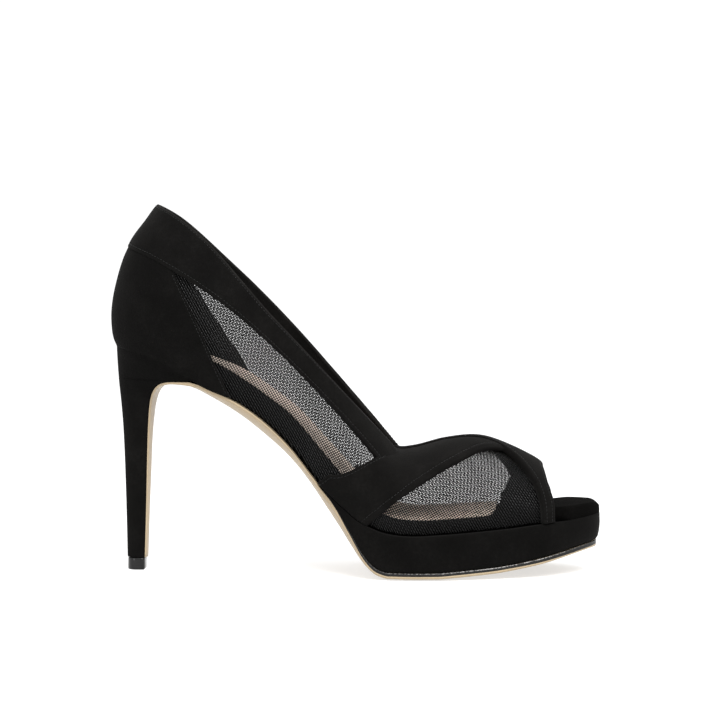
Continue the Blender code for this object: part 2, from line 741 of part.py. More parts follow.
def build_platform(parts):
    stations = sole_run(PLATFORM_START)
    blend = np.clip((stations - PLATFORM_START) / 20.0, 0, 1)
    grow = PLATFORM_GROW * (0.3 + 0.7 * blend)
    tuck = np.clip((stations - 60.0) / 40.0, 0, 1) * TOE_TUCK

    def under(x):
        return sole_top(x) + GAP

    def over(x):
        return np.maximum(bottom(x) - GAP, under(x) + 0.4)

    def between(share):
        return lambda x: under(x) + share * (over(x) - under(x))

    rings = [
        raised(outline(stations, grow - 0.6 - tuck), under),
        raised(outline(stations, grow - tuck * 0.6), between(0.12)),
        raised(outline(stations, grow), between(0.55)),
        raised(outline(stations, grow), between(0.88)),
        raised(outline(stations, grow - 0.7), over),
    ]
    slab("platform", rings, parts, "platform")


def sole_section(lateral, medial, top, middle_under, edge_under, flat):
    """Section of the sole: flat above, rounded up to its edge height below."""
    spread = np.array([-1.0, -0.8, -0.45, 0.0, 0.45, 0.8, 1.0])
    middle = (lateral + medial) / 2
    half = (medial - lateral) / 2
    rise = np.clip((np.abs(spread) - flat) / (1 - flat), 0, 1) ** 2.2
    low = middle_under + rise[:, None] * (edge_under - middle_under)
    low[:, 1] = middle[1] + spread * half[1]
    high = np.stack([top + 0 * middle, top + 0 * middle])
    high[0, 1] = medial[1]
    high[1, 1] = lateral[1]
    return np.concatenate([low, high])


def build_outsole(parts):
    sections = []
    stations = sole_run(SOLE["x"][0])
    grow = follow(SOLE, "x", "grow", stations)
    left, right = outline(stations, grow)
    for (lateral, medial) in zip(left, right):
        x = (lateral[0] + medial[0]) / 2
        top = np.array([x, 0.0, sole_top(x)])
        under = np.array([x, 0.0, sole_under(x)])
        edge_z = max(sole_under(x), sole_top(x) - follow(SOLE, "x", "edge", x))
        edge = np.array([x, 0.0, edge_z])
        flat = TREAD_FLAT * np.clip((x + 5.0) / 15.0, 0, 1)
        sections.append(sole_section(np.array([x, lateral[1], 0]), np.array([x, medial[1], 0]),
                                     top, under, edge, flat))
    breast = []
    rows = np.linspace(len(BREAST["x"]) - 1, 0, 23)
    path = np.stack([along_rows(BREAST["x"], rows), along_rows(BREAST["z"], rows)], axis=-1)
    run = np.gradient(path, axis=0)
    run = run / np.linalg.norm(run, axis=-1, keepdims=True)
    square = np.stack([-run[:, 1], run[:, 0]], axis=-1)
    for (x, z), (nx, nz), row in zip(path, square, rows):
        depth = float(bottom(x) - z)
        half = heel_half(depth) - 0.4
        waist = (half, half)
        if x > -84.0:
            share = (x + 84.0) / 16.0
            share = share * share * (3 - 2 * share)
            lead = np.abs(sections[0][0][1]), np.abs(sections[0][6][1])
            waist = tuple(half + share * (edge - half) for edge in lead)
        thick = float(along_rows(BREAST["sole_thick"], row))
        inner = np.array([x + nx * GAP, 0.0, z + nz * GAP])
        outer = np.array([x + nx * (GAP + thick), 0.0, z + nz * (GAP + thick)])
        rim = inner + (outer - inner) * 0.6
        breast.append(sole_section(np.array([x, -waist[0], 0]), np.array([x, waist[1], 0]),
                                   inner, outer, rim, 0.0))
    loft("outsole", breast[::-1] + sections, parts, "outsole")


def heel_half(depth):
    return SEAT_HALF * follow(HEEL_FLARE, "depth", "share", depth)


def seat_x(z):
    """Length at which the seat reaches a height."""
    x = np.linspace(-107.0, -68.0, 400)
    return np.interp(-z, -(bottom(x) - GAP), x)


def build_heel(parts):
    sections = []
    lip = BREAST["z"][-1]
    places = np.linspace(0, len(BREAST["x"]) - 1, 300)
    breast_z = along_rows(BREAST["z"], places)
    breast_x = along_rows(BREAST["x"], places)
    share = np.linspace(0.0, 1.0, 11)
    for z in HEEL_LEVELS:
        rear = float(follow(HEEL_BACK, "z", "x", z))
        front = float(np.interp(z, breast_z, breast_x)) if z <= lip else float(seat_x(z))
        middle_depth = float(bottom((rear + front) / 2) - z)
        tightness = float(follow(HEEL_FLARE, "depth", "share", middle_depth))
        scale = HEEL_ROUND * tightness
        reach = (front - rear) / scale
        end = np.arccos(1 - reach) if reach < 1 else np.pi / 2 + reach - 1
        turn = share * end
        step = np.where(turn < np.pi / 2, 1 - np.cos(turn), 1 + turn - np.pi / 2)
        x = rear + scale * step
        depth = np.maximum(bottom(x) - z, GAP)
        half = heel_half(depth) * np.sin(np.minimum(turn, np.pi / 2))
        lateral = np.stack([x, -half, z + 0 * x], axis=-1)
        medial = np.stack([x, half, z + 0 * x], axis=-1)
        sections.append(np.concatenate([lateral, medial[:0:-1]]))
    loft("heel", sections, parts, "heel")


def build_heel_tip(parts):
    sections = []
    turn = np.linspace(0.0, np.pi, 15)
    for z, shrink in ((0.0, 0.5), (0.5, 0.05), (TIP_HEIGHT - 0.4, 0.0), (TIP_HEIGHT, 0.15)):
        x = -97.6 - (4.6 - shrink) * np.sin(turn)
        y = (4.9 - shrink) * np.cos(turn)
        front = np.array([[-94.4 - shrink, -4.6 + shrink], [-94.4 - shrink, 4.6 - shrink]])
        ring = np.concatenate([np.stack([x, y], axis=-1), front])
        sections.append(np.column_stack([ring, np.full(len(ring), z)]))
    loft("heel_tip", sections, parts, "heel_tip")


def main():
    for item in list(bpy.data.objects):
        bpy.data.objects.remove(item, do_unlink=True)
    parts = bpy.data.collections.new("platform_pump")
    cutters = bpy.data.collections.new("forms")
    bpy.context.scene.collection.children.link(parts)
    bpy.context.scene.collection.children.link(cutters)
    build_upper(parts, cutters)
    build_mesh_panels(parts)
    build_insole(parts)
    build_sock(parts)
    build_platform(parts)
    build_outsole(parts)
    build_heel(parts)
    build_heel_tip(parts)


main()
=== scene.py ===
"""Dresses the platform pump: suede counter, collar band and crossed straps over woven net, a covered
platform, a pale leather sole and a slender heel. Tables are in millimetres, as in the part's source;
the toe points along +X, the lateral side along -Y, and the shoe stands on Z = 0."""

import bmesh
import bpy
import numpy as np
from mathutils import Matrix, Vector


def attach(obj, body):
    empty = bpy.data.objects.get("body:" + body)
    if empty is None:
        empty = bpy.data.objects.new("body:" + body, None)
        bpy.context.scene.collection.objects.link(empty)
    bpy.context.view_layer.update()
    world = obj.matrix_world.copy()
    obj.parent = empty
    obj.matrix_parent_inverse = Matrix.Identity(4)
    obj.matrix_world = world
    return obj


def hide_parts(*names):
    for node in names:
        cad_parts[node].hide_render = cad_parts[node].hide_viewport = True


bl_info = {
    "name": "Platform pump",
    "version": (1, 0, 0),
    "blender": (4, 5, 0),
    "location": "3D View > Sidebar > Pump",
    "description": "Suede, net, leather, stitching and studio for a platform pump",
    "category": "Object",
}

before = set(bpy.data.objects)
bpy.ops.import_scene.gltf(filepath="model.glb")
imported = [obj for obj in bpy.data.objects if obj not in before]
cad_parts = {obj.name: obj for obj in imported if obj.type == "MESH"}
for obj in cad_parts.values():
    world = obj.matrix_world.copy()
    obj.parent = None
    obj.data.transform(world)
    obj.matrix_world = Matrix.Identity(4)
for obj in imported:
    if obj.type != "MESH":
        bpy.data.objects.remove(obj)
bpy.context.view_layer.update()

MILLIMETRE = 0.001
ORIGIN_X = -0.53
ORIGIN_Y = 0.67
GAP = 0.3
LATERAL = -1.0
MEDIAL = 1.0
SIDES = (LATERAL, MEDIAL)

# Sizes of the last. A point at the core depth below the middle of a panel is inside the shoe.
HEEL_ROUND = 30.0
SEAT_BACK = -106.9
TOE_END = 107.2
TOE_ROUND_START = 78.0
BELLY_GIRTH = 12.0
CORE_DEPTH = 15.0

# Layers, measured outward from the skin of the last
SUEDE_LAYERS = {
    "counter": (-1.1, 0.0),
    "collar_band": (-1.4, 0.55),
    "under_strap": (-1.7, 0.75),
    "over_strap": (-2.0, 1.45),
}
NET_HEIGHT = -2.5
TOE_LINING_LAYER = (-3.3, -2.95)
UNEVENNESS = 0.05

# Worked edges of the suede panels: how far the outside falls towards the edge, over what width, the
# radius of the edge, where its row of stitches runs, and how much of the groove depth that pulls in
SUEDE_EDGES = {
    "counter": {"front": (0.25, 2.0, 0.35, 1.4, 1.0)},
    "collar_band": {"first_column": (0.2, 2.2, 0.3, 1.7, 1.0),
                    "last_column": (0.25, 2.6, 0.7, 1.3, 0.6)},
    "under_strap": {"first_column": (0.3, 2.0, 0.45, 1.6, 1.0),
                    "last_column": (0.75, 3.4, 0.45, 3.0, 1.3)},
    "over_strap": {"first_column": (0.3, 1.8, 0.5, 1.6, 1.0),
                   "last_column": (0.4, 2.4, 0.7, 1.7, 1.0)},
}
GROOVE_WIDTH = 0.42
TOPLINE_ROUND = 0.6
# Columns along the collar's topline that get a lighter suede as a painted highlight
HIGHLIT_TOPLINE_COLUMNS = 4

# Rows of a panel's grid that are stitched, where a row of stitches leaves some out
STITCHED_ROWS = {
    ("counter", "front"): slice(1, 36),
    ("under_strap", "first_column"): slice(0, 73),
}

# Counter: foot of its front edge on the lateral and the medial side, how far and how wide its outside
# falls along the feather edge, length of half its run, and rows of the collar that it laps under
COUNTER_FOOT = (-53.8, -45.6)
COUNTER_FOOT_FALL = 0.12
COUNTER_FOOT_WIDTH = 0.8
COUNTER_RUN = 68.0
COUNTER_BAND_ROWS = 2.2

# Laps behind the suede, and how far the nets reach: the vamp nets up to an angle round the last and
# to the row of the strap table where the straps cross, the quarter nets along the lower collar edge
MESH_LAP = 4.0
BAND_LAP = 4.0
FRONT_LAP_SHARE = 0.75
VAMP_MESH_GIRTH = 81.0
CROSSING_ROW = 7
QUARTER_NET_START = -58.0
QUARTER_NET_LENGTH = 47.5
QUARTER_NET_FIRST_ROW = 1.7
QUARTER_NET_ROWS = 10.2
QUARTER_NET_RISE = 0.28

# Share of its height by which a thread rises and falls in the weave, and the step that finds normals
WEAVE = 0.42
PROBE = 0.05

# Toe lining: angles round the last and lengths of its rear edge on both sides and of its front edge
TOE_LINING_LATERAL = ((0, 20, 55, 75, 90), (63.0, 64.8, 70.6, 72.6, 73.0))
# On the medial side the rear edge reaches further back: a dark sheet that stands in for the shade under
# the under strap
TOE_LINING_MEDIAL_WITH_SHADE = ((0, 20, 38, 60, 75, 90), (63.0, 64.8, 70.0, 64.0, 64.0, 73.0))
TOE_LINING_FRONT = ((0, 29, 49, 73, 90), (85.0, 84.6, 82.2, 80.2, 78.6))

# Sole and heel
PLATFORM_GROW = 1.2
PLATFORM_START = -13.0
PLATFORM_REAR_SHARE = 0.3
PLATFORM_TOP_SHARE = 0.7
PLATFORM_THIN = 0.4
TOE_SQUARE = 0.85
TOE_TUCK = 1.2
TREAD_FLAT = 0.45
INSOLE_INSET = 3.3
INSOLE_TOE_GROW = 1.1
NOSE_START = 103.0
NOSE_DROP = 1.5
PAD_EDGE = 5.1
SOCK_INSET = 1.4
SOCK_THICKNESS = 1.0
SOCK_FRONT = 62.5
SOCK_FRONT_ROUND = 5.0
SOCK_FRONT_POWER = 3.2
SOCK_FORE_INSET = 3.5
SEAT_HALF = 25.4
SEAT_LAP = 1.2
WAIST_INK = 0.2
TOE_INK = 0.6
BEAD_SHARE = 0.2
UNDERSIDE_INSET = 0.8
UNDERSIDE_POWER = 2.2
BREAST_INSET = 0.4
BREAST_RIM = 0.6

# Ranges along the shoe: where something starts and over what length it comes in
OUTLINE_END_RANGE = (65.0, 15.0)
INSOLE_TOE_RANGE = (89.5, 5.0)
SOCK_FORE_RANGE = (5.0, 25.0)
PLATFORM_BLEND = 20.0
TUCK_RANGE = (60.0, 40.0)
PLATFORM_TOE_RANGE = (85.0, 6.0)
TREAD_RANGE = (-5.0, 15.0)
TOE_INK_RANGE = (70.0, 28.0)
WAIST_INK_RANGE = (-16.0, 18.0)
WAIST_RANGE = (-84.0, 16.0)

# Stations: start of the sole's run, its bend down to the tread, and the rounded ends of the footbed
SOLE_START = -68.0
SOLE_BEND = (-20.0, 18.0)
SOLE_TOE_START = 76.0
FOOTBED_HEEL_ROUND = 18.0
FOOTBED_TOE_ROUND = 16.0

# Cover of the heel: how far it is drawn in at its foot, below what height and over what length, and
# the same at the seat
HEEL_FOOT_SHRINK = 0.25
HEEL_FOOT_TOP = 6.5
HEEL_FOOT_RUN = 0.9
HEEL_SEAT_SHRINK = 0.2
HEEL_SEAT_RUN = 1.5

# Tip of the heel: its height, centre of its round back, reach and half width, and its front face
TIP_HEIGHT = 5.3
TIP_CENTRE = -97.6
TIP_REACH = 4.6
TIP_HALF = 4.9
TIP_FRONT = -94.4
TIP_CORNER = -96.0
TIP_BEVEL = ((-0.35, -4.8), (0.0, -4.4))

# Distances from an edge at which the suede grids are cut finely, the most of a panel's width that they
# take up, points read from one row of the collar's table to the next, and rows and inner columns of
# the grids
EDGE_MARKS = (0.0, 0.1, 0.25, 0.5, 0.85, 1.2, 1.6, 2.1, 2.7, 3.3, 4.2)
EDGE_SHARE = 0.42
ROW_STEPS = 60
COLLAR_STEPS = (241, 14)
STRAP_STEPS = (181, 26)
COUNTER_STEPS = (41, 75)

# Camera of the picture, in the frame of the part
CAMERA_TARGET = (0.53, -0.67, 95.7)
CAMERA_DISTANCE = 1500.0
CAMERA_AZIMUTH = 3.5
CAMERA_ELEVATION = 3.4
POINTS_PER_MILLIMETRE = 2.25
PICTURE_WIDTH = 712
SENSOR_WIDTH = 36.0

# Lights of the studio in metres and watts: name, place, what it points at, size and power
SOFTBOXES = (
    ("top_softbox", (0.05, -0.25, 1.5), (0, 0, 0.05), (1.3, 1.3), 7.0),
    ("front_softbox", (0.4, -0.95, 1.0), (0.02, 0, 0.05), (0.7, 0.6), 21.0),
    ("heel_softbox", (-1.0, -0.9, 0.35), (-0.09, 0, 0.03), (0.09, 0.9), 5.0),
    ("toe_softbox", (1.1, -0.8, 0.8), (0.05, 0, 0.05), (0.6, 0.9), 2.5),
)
SKY_STRENGTH = 1.07
FLOOR_GLOW = 0.6
FLOOR_RADIUS = 4.0


def table(columns, *rows):
    """A table with named columns and a row per section."""
    data = np.array(rows, dtype=float)
    return {name: data[:, place] for place, name in enumerate(columns)}


# Sections of the last from heel to toe. Half widths are measured from the centre line.
LAST = table(
    ("x", "bottom", "half_lateral", "half_medial", "belly_lateral", "belly_medial", "belly_at",
     "ridge", "centre"),
    (-112.0, 101.2, 25.5, 25.5, 27.0, 27.0, 0.25, 186.0, 0.0),
    (-100.0, 98.2, 25.5, 25.5, 27.0, 27.0, 0.25, 182.0, 0.0),
    (-88.0, 94.3, 25.5, 25.5, 27.0, 27.0, 0.26, 179.0, 0.0),
    (-76.0, 88.6, 25.3, 25.2, 27.0, 27.0, 0.28, 176.0, 0.0),
    (-64.0, 82.4, 24.6, 24.2, 26.8, 26.6, 0.30, 170.0, 0.0),
    (-52.0, 77.1, 24.0, 22.3, 27.0, 26.0, 0.34, 162.5, 0.2),
    (-40.0, 68.8, 23.8, 20.8, 27.8, 26.0, 0.36, 152.0, 0.5),
    (-28.0, 57.3, 25.0, 21.0, 28.6, 26.2, 0.35, 139.0, 0.9),
    (-15.0, 41.7, 29.3, 22.8, 31.0, 27.2, 0.30, 113.0, 1.3),
    (-5.0, 32.3, 32.6, 26.2, 33.6, 29.2, 0.24, 94.5, 1.7),
    (5.0, 24.6, 36.2, 30.0, 36.8, 31.5, 0.20, 76.0, 2.0),
    (12.0, 21.4, 38.3, 31.6, 38.8, 32.4, 0.18, 65.4, 2.3),
    (18.3, 20.0, 39.6, 32.8, 40.0, 33.4, 0.17, 56.6, 2.6),
    (25.0, 19.5, 40.6, 34.0, 41.0, 34.6, 0.16, 54.6, 2.9),
    (40.0, 20.1, 40.0, 35.6, 40.4, 36.2, 0.16, 58.1, 3.4),
    (55.0, 21.1, 36.9, 34.6, 37.3, 35.1, 0.16, 59.1, 3.9),
    (70.0, 22.3, 32.4, 31.6, 32.8, 32.0, 0.16, 54.0, 4.3),
    (82.0, 23.7, 29.2, 29.0, 29.5, 29.3, 0.16, 47.9, 4.6),
    (92.0, 24.8, 26.2, 26.2, 26.4, 26.4, 0.16, 41.0, 4.8),
    (100.0, 25.7, 23.2, 23.2, 23.4, 23.4, 0.16, 35.5, 5.0),
    (107.2, 26.6, 20.4, 20.4, 20.5, 20.5, 0.16, 31.0, 5.0),
)

# Ridge of the vamp under the straps, and the power of its section: below 1 the top is flatter
VAMP = table(
    ("x", "ridge", "power"),
    (-15.0, 71.0, 0.60),
    (-5.0, 65.6, 0.60),
    (5.0, 59.8, 0.58),
    (12.0, 56.0, 0.54),
    (18.3, 53.5, 0.62),
    (25.0, 54.2, 0.84),
    (40.0, 58.1, 1.0),
    (55.0, 59.1, 1.0),
    (70.0, 54.0, 1.0),
    (82.0, 47.9, 1.0),
    (92.0, 41.0, 1.0),
)

# Back seam of the counter
BACK = table(
    ("z", "x"),
    (95.0, -105.6),
    (100.2, -106.9),
    (103.5, -108.2),
    (109.5, -109.1),
    (115.0, -109.2),
    (120.5, -108.6),
    (127.5, -107.2),
    (134.5, -105.3),
    (141.5, -102.7),
    (148.5, -98.9),
    (156.0, -93.2),
    (163.1, -88.0),
    (170.0, -82.0),
)

# Collar band from the back seam to the throat: topline and lower edge as seen from the side, and
# how much lower the medial topline runs
COLLAR = table(
    ("high_x", "high_z", "low_x", "low_z", "medial_drop"),
    (-88.2, 163.1, -101.5, 144.2, 0.0),
    (-79.3, 158.8, -89.5, 139.8, 1.9),
    (-68.5, 151.1, -79.8, 134.7, 3.9),
    (-59.0, 141.9, -70.8, 129.3, 3.7),
    (-48.5, 130.0, -60.0, 122.0, 1.8),
    (-37.0, 116.8, -46.5, 111.4, 0.2),
    (-25.0, 104.1, -34.8, 101.0, 0.4),
    (-13.0, 91.1, -23.0, 89.6, 0.8),
    (-2.0, 78.8, -11.5, 77.9, 1.1),
    (6.5, 69.1, -2.2, 68.0, 0.9),
    (12.5, 62.1, 5.0, 59.9, 0.9),
    (16.0, 57.8, 10.6, 53.3, 0.8),
    (18.4, 54.8, 14.6, 48.4, 0.5),
)

# Front edge of the counter as seen from the side, on both sides of the heel
COUNTER_FRONT = table(
    ("z", "lateral", "medial"),
    (72.0, -51.2, -45.0),
    (78.0, -53.8, -46.8),
    (87.5, -58.0, -50.4),
    (109.4, -67.5, -64.3),
    (126.2, -75.2, -75.0),
    (137.5, -80.4, -82.0),
)

# One strap from its lateral foot over the ridge to its medial foot. Girth is the angle round the
# last: 0 at the lateral feather edge, 90 on the ridge, 180 at the medial feather edge. Tuck is how
# much further the under strap runs beneath the over strap, and short is how far its front edge
# stays behind the edge of the over strap. Dip is how much lower the rear edge of the over strap
# runs on the medial side.
STRAP = table(
    ("rear_x", "rear_girth", "front_x", "front_girth", "tuck", "short", "dip"),
    (-15.1, 0.0, 6.8, 0.0, 0.0, 0.0, 0.0),
    (-6.0, 22.5, 12.3, 13.5, 0.0, 0.0, 5.5),
    (1.8, 44.0, 19.3, 30.0, 0.0, 0.0, 9.0),
    (9.3, 65.0, 28.4, 40.5, 0.0, 0.0, 10.0),
    (13.8, 78.0, 38.5, 48.5, 0.0, 0.0, 8.0),
    (17.6, 89.0, 50.0, 59.0, 4.0, 0.0, 1.0),
    (40.0, 93.0, 62.0, 75.0, 8.0, 0.0, 0.0),
    (58.0, 95.0, 73.0, 85.5, 1.5, 0.0, 0.0),
    (66.0, 100.5, 81.6, 90.5, 0.0, 0.4, 0.0),
    (73.1, 113.5, 83.2, 107.0, 0.0, 1.4, 0.0),
    (79.5, 132.5, 85.4, 131.0, 0.0, 1.4, 0.0),
    (82.6, 155.0, 87.8, 151.0, 0.0, 1.0, 0.0),
    (83.2, 180.0, 88.4, 180.0, 0.0, 0.6, 0.0),
)

# Height of the footbed's edge above the feather edge, how much its middle is padded up, and how much
# lower its medial edge lies
FOOTBED = table(
    ("x", "edge", "crown", "tilt"),
    (-107.0, 6.0, 0.0, 0.4),
    (-85.0, 9.2, 0.0, 1.8),
    (-62.0, 12.4, 0.0, 2.2),
    (-49.0, 11.2, 0.0, 0.4),
    (-38.0, 11.7, 0.0, 0.0),
    (-28.0, 13.9, 0.0, 0.0),
    (-19.0, 15.4, 0.0, 0.0),
    (-11.0, 14.8, 0.1, 0.0),
    (-4.0, 12.8, 0.3, 0.0),
    (6.0, 9.3, 0.8, 0.0),
    (16.0, 6.7, 1.2, 0.0),
    (28.0, 5.5, 1.6, 0.0),
    (45.0, 5.2, 1.8, 0.0),
    (62.0, 5.2, 1.7, 0.0),
    (76.0, 5.6, 0.9, 0.0),
    (90.0, 6.0, 0.2, 0.0),
    (107.5, 5.4, 0.0, 0.0),
)

# Sole from the waist to the toe: underside height on the centre line, thickness square to the
# underside, height of its edge, and how far it stands outside the last
SOLE = table(
    ("x", "under", "thick", "edge", "grow"),
    (-68.0, 80.0, 6.0, 1.2, -1.6),
    (-60.0, 75.4, 6.0, 1.2, -1.4),
    (-50.0, 68.9, 6.0, 1.2, -1.2),
    (-40.0, 61.0, 6.0, 1.2, -1.2),
    (-30.0, 52.0, 6.0, 1.2, -1.2),
    (-22.0, 42.9, 6.0, 1.3, -1.0),
    (-15.0, 33.0, 4.3, 1.8, -0.8),
    (-8.0, 22.2, 5.6, 2.6, -0.4),
    (-2.0, 13.3, 5.5, 2.8, 0.2),
    (4.0, 5.8, 4.8, 2.8, 0.7),
    (9.0, 2.0, 3.9, 2.7, 0.9),
    (14.0, 0.3, 3.4, 2.5, 0.9),
    (20.0, -0.2, 3.3, 2.5, 0.9),
    (36.0, -0.2, 3.3, 2.5, 0.9),
    (44.0, 0.4, 3.3, 2.5, 0.9),
    (54.0, 1.2, 3.3, 2.5, 0.9),
    (64.0, 2.2, 3.2, 2.5, 0.9),
    (74.0, 3.8, 3.1, 2.4, 0.9),
    (84.0, 5.9, 3.0, 2.4, 0.8),
    (94.0, 8.4, 2.9, 2.3, 0.4),
    (102.0, 10.4, 2.8, 2.3, 0.0),
    (107.2, 11.5, 2.7, 2.3, -0.4),
)

# Front of the heel from its foot to the lip under the waist, with the thickness of the sole there
BREAST = table(
    ("x", "z", "sole_thick"),
    (-94.6, 5.6, 1.0),
    (-94.1, 20.0, 1.0),
    (-93.7, 32.0, 1.0),
    (-93.3, 45.0, 1.1),
    (-92.9, 57.0, 1.1),
    (-92.3, 67.0, 1.2),
    (-91.4, 75.0, 1.3),
    (-90.0, 79.8, 1.4),
    (-87.8, 82.9, 1.6),
    (-85.0, 84.7, 1.7),
    (-81.0, 85.5, 1.8),
    (-76.5, 85.65, 2.1),
    (-72.0, 85.7, 3.0),
)

# Back of the heel
HEEL_BACK = table(
    ("z", "x"),
    (5.0, -102.4),
    (20.0, -102.7),
    (40.0, -103.2),
    (55.0, -103.7),
    (65.0, -104.2),
    (75.0, -105.0),
    (85.0, -106.0),
    (93.0, -106.5),
    (100.0, -106.8),
)

# Share of the seat width kept at each depth below the seat
HEEL_FLARE = table(
    ("depth", "share"),
    (0.0, 1.0),
    (2.0, 0.965),
    (5.0, 0.88),
    (9.0, 0.74),
    (13.0, 0.59),
    (16.0, 0.51),
    (19.0, 0.455),
    (25.0, 0.385),
    (32.0, 0.325),
    (50.0, 0.265),
    (77.0, 0.20),
    (95.0, 0.19),
)

# Wall of the sole from its top to its underside: how far in from the edge, share of the wall's
# height, and the finish above that line: 0 leather, 1 ink, 2 the bead along the top
SOLE_WALL = (
    (0.90, 0.00, 1),
    (0.12, 0.00, 2),
    (-0.06, 0.04, 2),
    (-0.09, 0.08, 2),
    (-0.05, 0.13, 2),
    (0.12, 0.17, 1),
    (0.02, 0.28, 1),
    (0.00, 0.40, 1),
    (0.05, 0.50, 1),
    (0.22, 0.55, 1),
    (0.14, 0.60, 0),
    (0.16, 0.74, 0),
    (0.36, 0.92, 0),
)

# Places across half of the sole's underside
SOLE_SPREADS = (-1.0, -0.96, -0.9, -0.8, -0.66, -0.5, -0.3, -0.1)

# Wall of the platform's cover: share of its height, how far in, and share of the tuck at the toe
PLATFORM_WALL = (
    (0.0, 0.9, 1.0), (0.02, 0.45, 0.95), (0.06, 0.15, 0.8), (0.14, 0.02, 0.58),
    (0.3, -0.05, 0.3), (0.48, -0.08, 0.1), (0.66, -0.06, 0.0), (0.82, 0.0, 0.0),
    (0.91, 0.1, 0.0), (0.96, 0.32, 0.0), (0.99, 0.7, 0.0), (1.0, 1.2, 0.0),
)

# Rounded edge of the footbed: how far in, and how far below its top
FOOTBED_WALL = ((0.0, 3.4), (0.0, 2.2), (0.08, 1.5), (0.3, 0.9), (0.7, 0.42), (1.2, 0.12))
FOOTBED_TOP_INSET = 1.8

# Wall of the tip: height, and how far it is drawn in
TIP_WALL = (
    (0.0, 0.5), (0.08, 0.3), (0.25, 0.12), (0.5, 0.03), (1.2, 0.0), (2.6, 0.0), (4.0, 0.0),
    (4.7, 0.0), (4.95, 0.04), (5.15, 0.12), (TIP_HEIGHT, 0.3),
)

# One stitch: places along its length, share of its width there, and how far it stands out
STITCH = table(
    ("along", "fat", "sink"),
    (-0.5, 0.25, -0.10),
    (-0.42, 0.75, -0.02),
    (-0.2, 1.0, 0.05),
    (0.2, 1.0, 0.05),
    (0.42, 0.75, -0.02),
    (0.5, 0.25, -0.10),
)

# Heights of the heel's sections, close together at its foot and where it flares
HEEL_LEVELS = np.concatenate([(5.6, 5.75, 6.0, 6.5), np.linspace(7.5, 66.0, 26),
                              np.linspace(68.0, 85.0, 30), np.linspace(85.3, 100.4, 45)])


class PumpSizes(bpy.types.PropertyGroup):
    """Sizes of the fine work on the pump."""

    net_pitch: bpy.props.FloatProperty(
        name="Net pitch", description="Distance between neighbouring threads of the net",
        default=0.00099, min=0.0004, max=0.004, unit="LENGTH")
    thread_width: bpy.props.FloatProperty(
        name="Thread width", description="Width of a thread of the net",
        default=0.0004, min=0.00005, max=0.001, unit="LENGTH")
    thread_height: bpy.props.FloatProperty(
        name="Thread height", description="Thickness of a thread of the net",
        default=0.00024, min=0.00005, max=0.001, unit="LENGTH")
    net_turn: bpy.props.FloatProperty(
        name="Net turn", description="Angle of the net's threads to the length of the shoe",
        default=0.5, min=-1.6, max=1.6, subtype="ANGLE")
    medial_net_turn: bpy.props.FloatProperty(
        name="Medial net turn", description="How much further the medial nets are turned",
        default=0.38, min=-1.6, max=1.6, subtype="ANGLE")
    medial_net_share: bpy.props.FloatProperty(
        name="Medial net share", description="Pitch and thread width of the medial nets to the lateral",
        default=0.7, min=0.3, max=1.5, subtype="FACTOR")
    stitch_pitch: bpy.props.FloatProperty(
        name="Stitch pitch", description="Distance from one stitch to the next",
        default=0.0016, min=0.0008, max=0.006, unit="LENGTH")
    stitch_length: bpy.props.FloatProperty(
        name="Stitch length", description="Length of a stitch",
        default=0.00125, min=0.0004, max=0.005, unit="LENGTH")
    stitch_width: bpy.props.FloatProperty(
        name="Stitch width", description="Width of the sewing thread",
        default=0.00034, min=0.0001, max=0.001, unit="LENGTH")
    groove_depth: bpy.props.FloatProperty(
        name="Groove depth", description="How deep a row of stitches pulls into the suede",
        default=0.00018, min=0.0, max=0.001, unit="LENGTH")


class PumpColours(bpy.types.PropertyGroup):
    """Colours of the pump's materials."""

    suede: bpy.props.FloatVectorProperty(
        name="Suede", description="Suede of the straps, counter, platform and heel",
        default=(0.0036, 0.0034, 0.0032), min=0.0, max=1.0, subtype="COLOR")
    lining: bpy.props.FloatVectorProperty(
        name="Lining", description="Leather lining of the suede",
        default=(0.0016, 0.0015, 0.0015), min=0.0, max=1.0, subtype="COLOR")
    thread: bpy.props.FloatVectorProperty(
        name="Thread", description="Threads of the net and of the stitching",
        default=(0.003, 0.003, 0.003), min=0.0, max=1.0, subtype="COLOR")
    sock: bpy.props.FloatVectorProperty(
        name="Sock", description="Tan leather sock on the footbed",
        default=(0.97, 0.80, 0.67), min=0.0, max=1.0, subtype="COLOR")
    sole: bpy.props.FloatVectorProperty(
        name="Sole", description="Pale leather of the sole",
        default=(0.325, 0.255, 0.165), min=0.0, max=1.0, subtype="COLOR")
    edge: bpy.props.FloatVectorProperty(
        name="Edge", description="Ink on the edge of the sole",
        default=(0.006, 0.006, 0.006), min=0.0, max=1.0, subtype="COLOR")
    tip: bpy.props.FloatVectorProperty(
        name="Heel tip", description="Glossy tip under the heel",
        default=(0.005, 0.005, 0.005), min=0.0, max=1.0, subtype="COLOR")
    floor: bpy.props.FloatVectorProperty(
        name="Floor", description="Floor of the studio",
        default=(0.45, 0.45, 0.45), min=0.0, max=1.0, subtype="COLOR")


# Shape of the last

def follow(data, key, column, value):
    """Smooth curve through one column of a table, read along another."""
    places = data[key]
    heights = data[column]
    slopes = np.gradient(heights, places)
    value = np.clip(np.asarray(value, dtype=float), places[0], places[-1])
    cell = np.clip(np.searchsorted(places, value) - 1, 0, len(places) - 2)
    width = places[cell + 1] - places[cell]
    t = (value - places[cell]) / width
    return ((1 + 2 * t) * (1 - t) ** 2 * heights[cell]
            + t * (1 - t) ** 2 * width * slopes[cell]
            + t ** 2 * (3 - 2 * t) * heights[cell + 1]
            + t ** 2 * (t - 1) * width * slopes[cell + 1])


def along_rows(values, place):
    """Smooth curve through a list of values, read by row number."""
    rows = {"row": np.arange(len(values), dtype=float), "value": np.asarray(values, dtype=float)}
    return follow(rows, "row", "value", place)


def bottom(x):
    return follow(LAST, "x", "bottom", x)


def ridge(x):
    return follow(LAST, "x", "ridge", x)


def centre(x):
    return follow(LAST, "x", "centre", x)


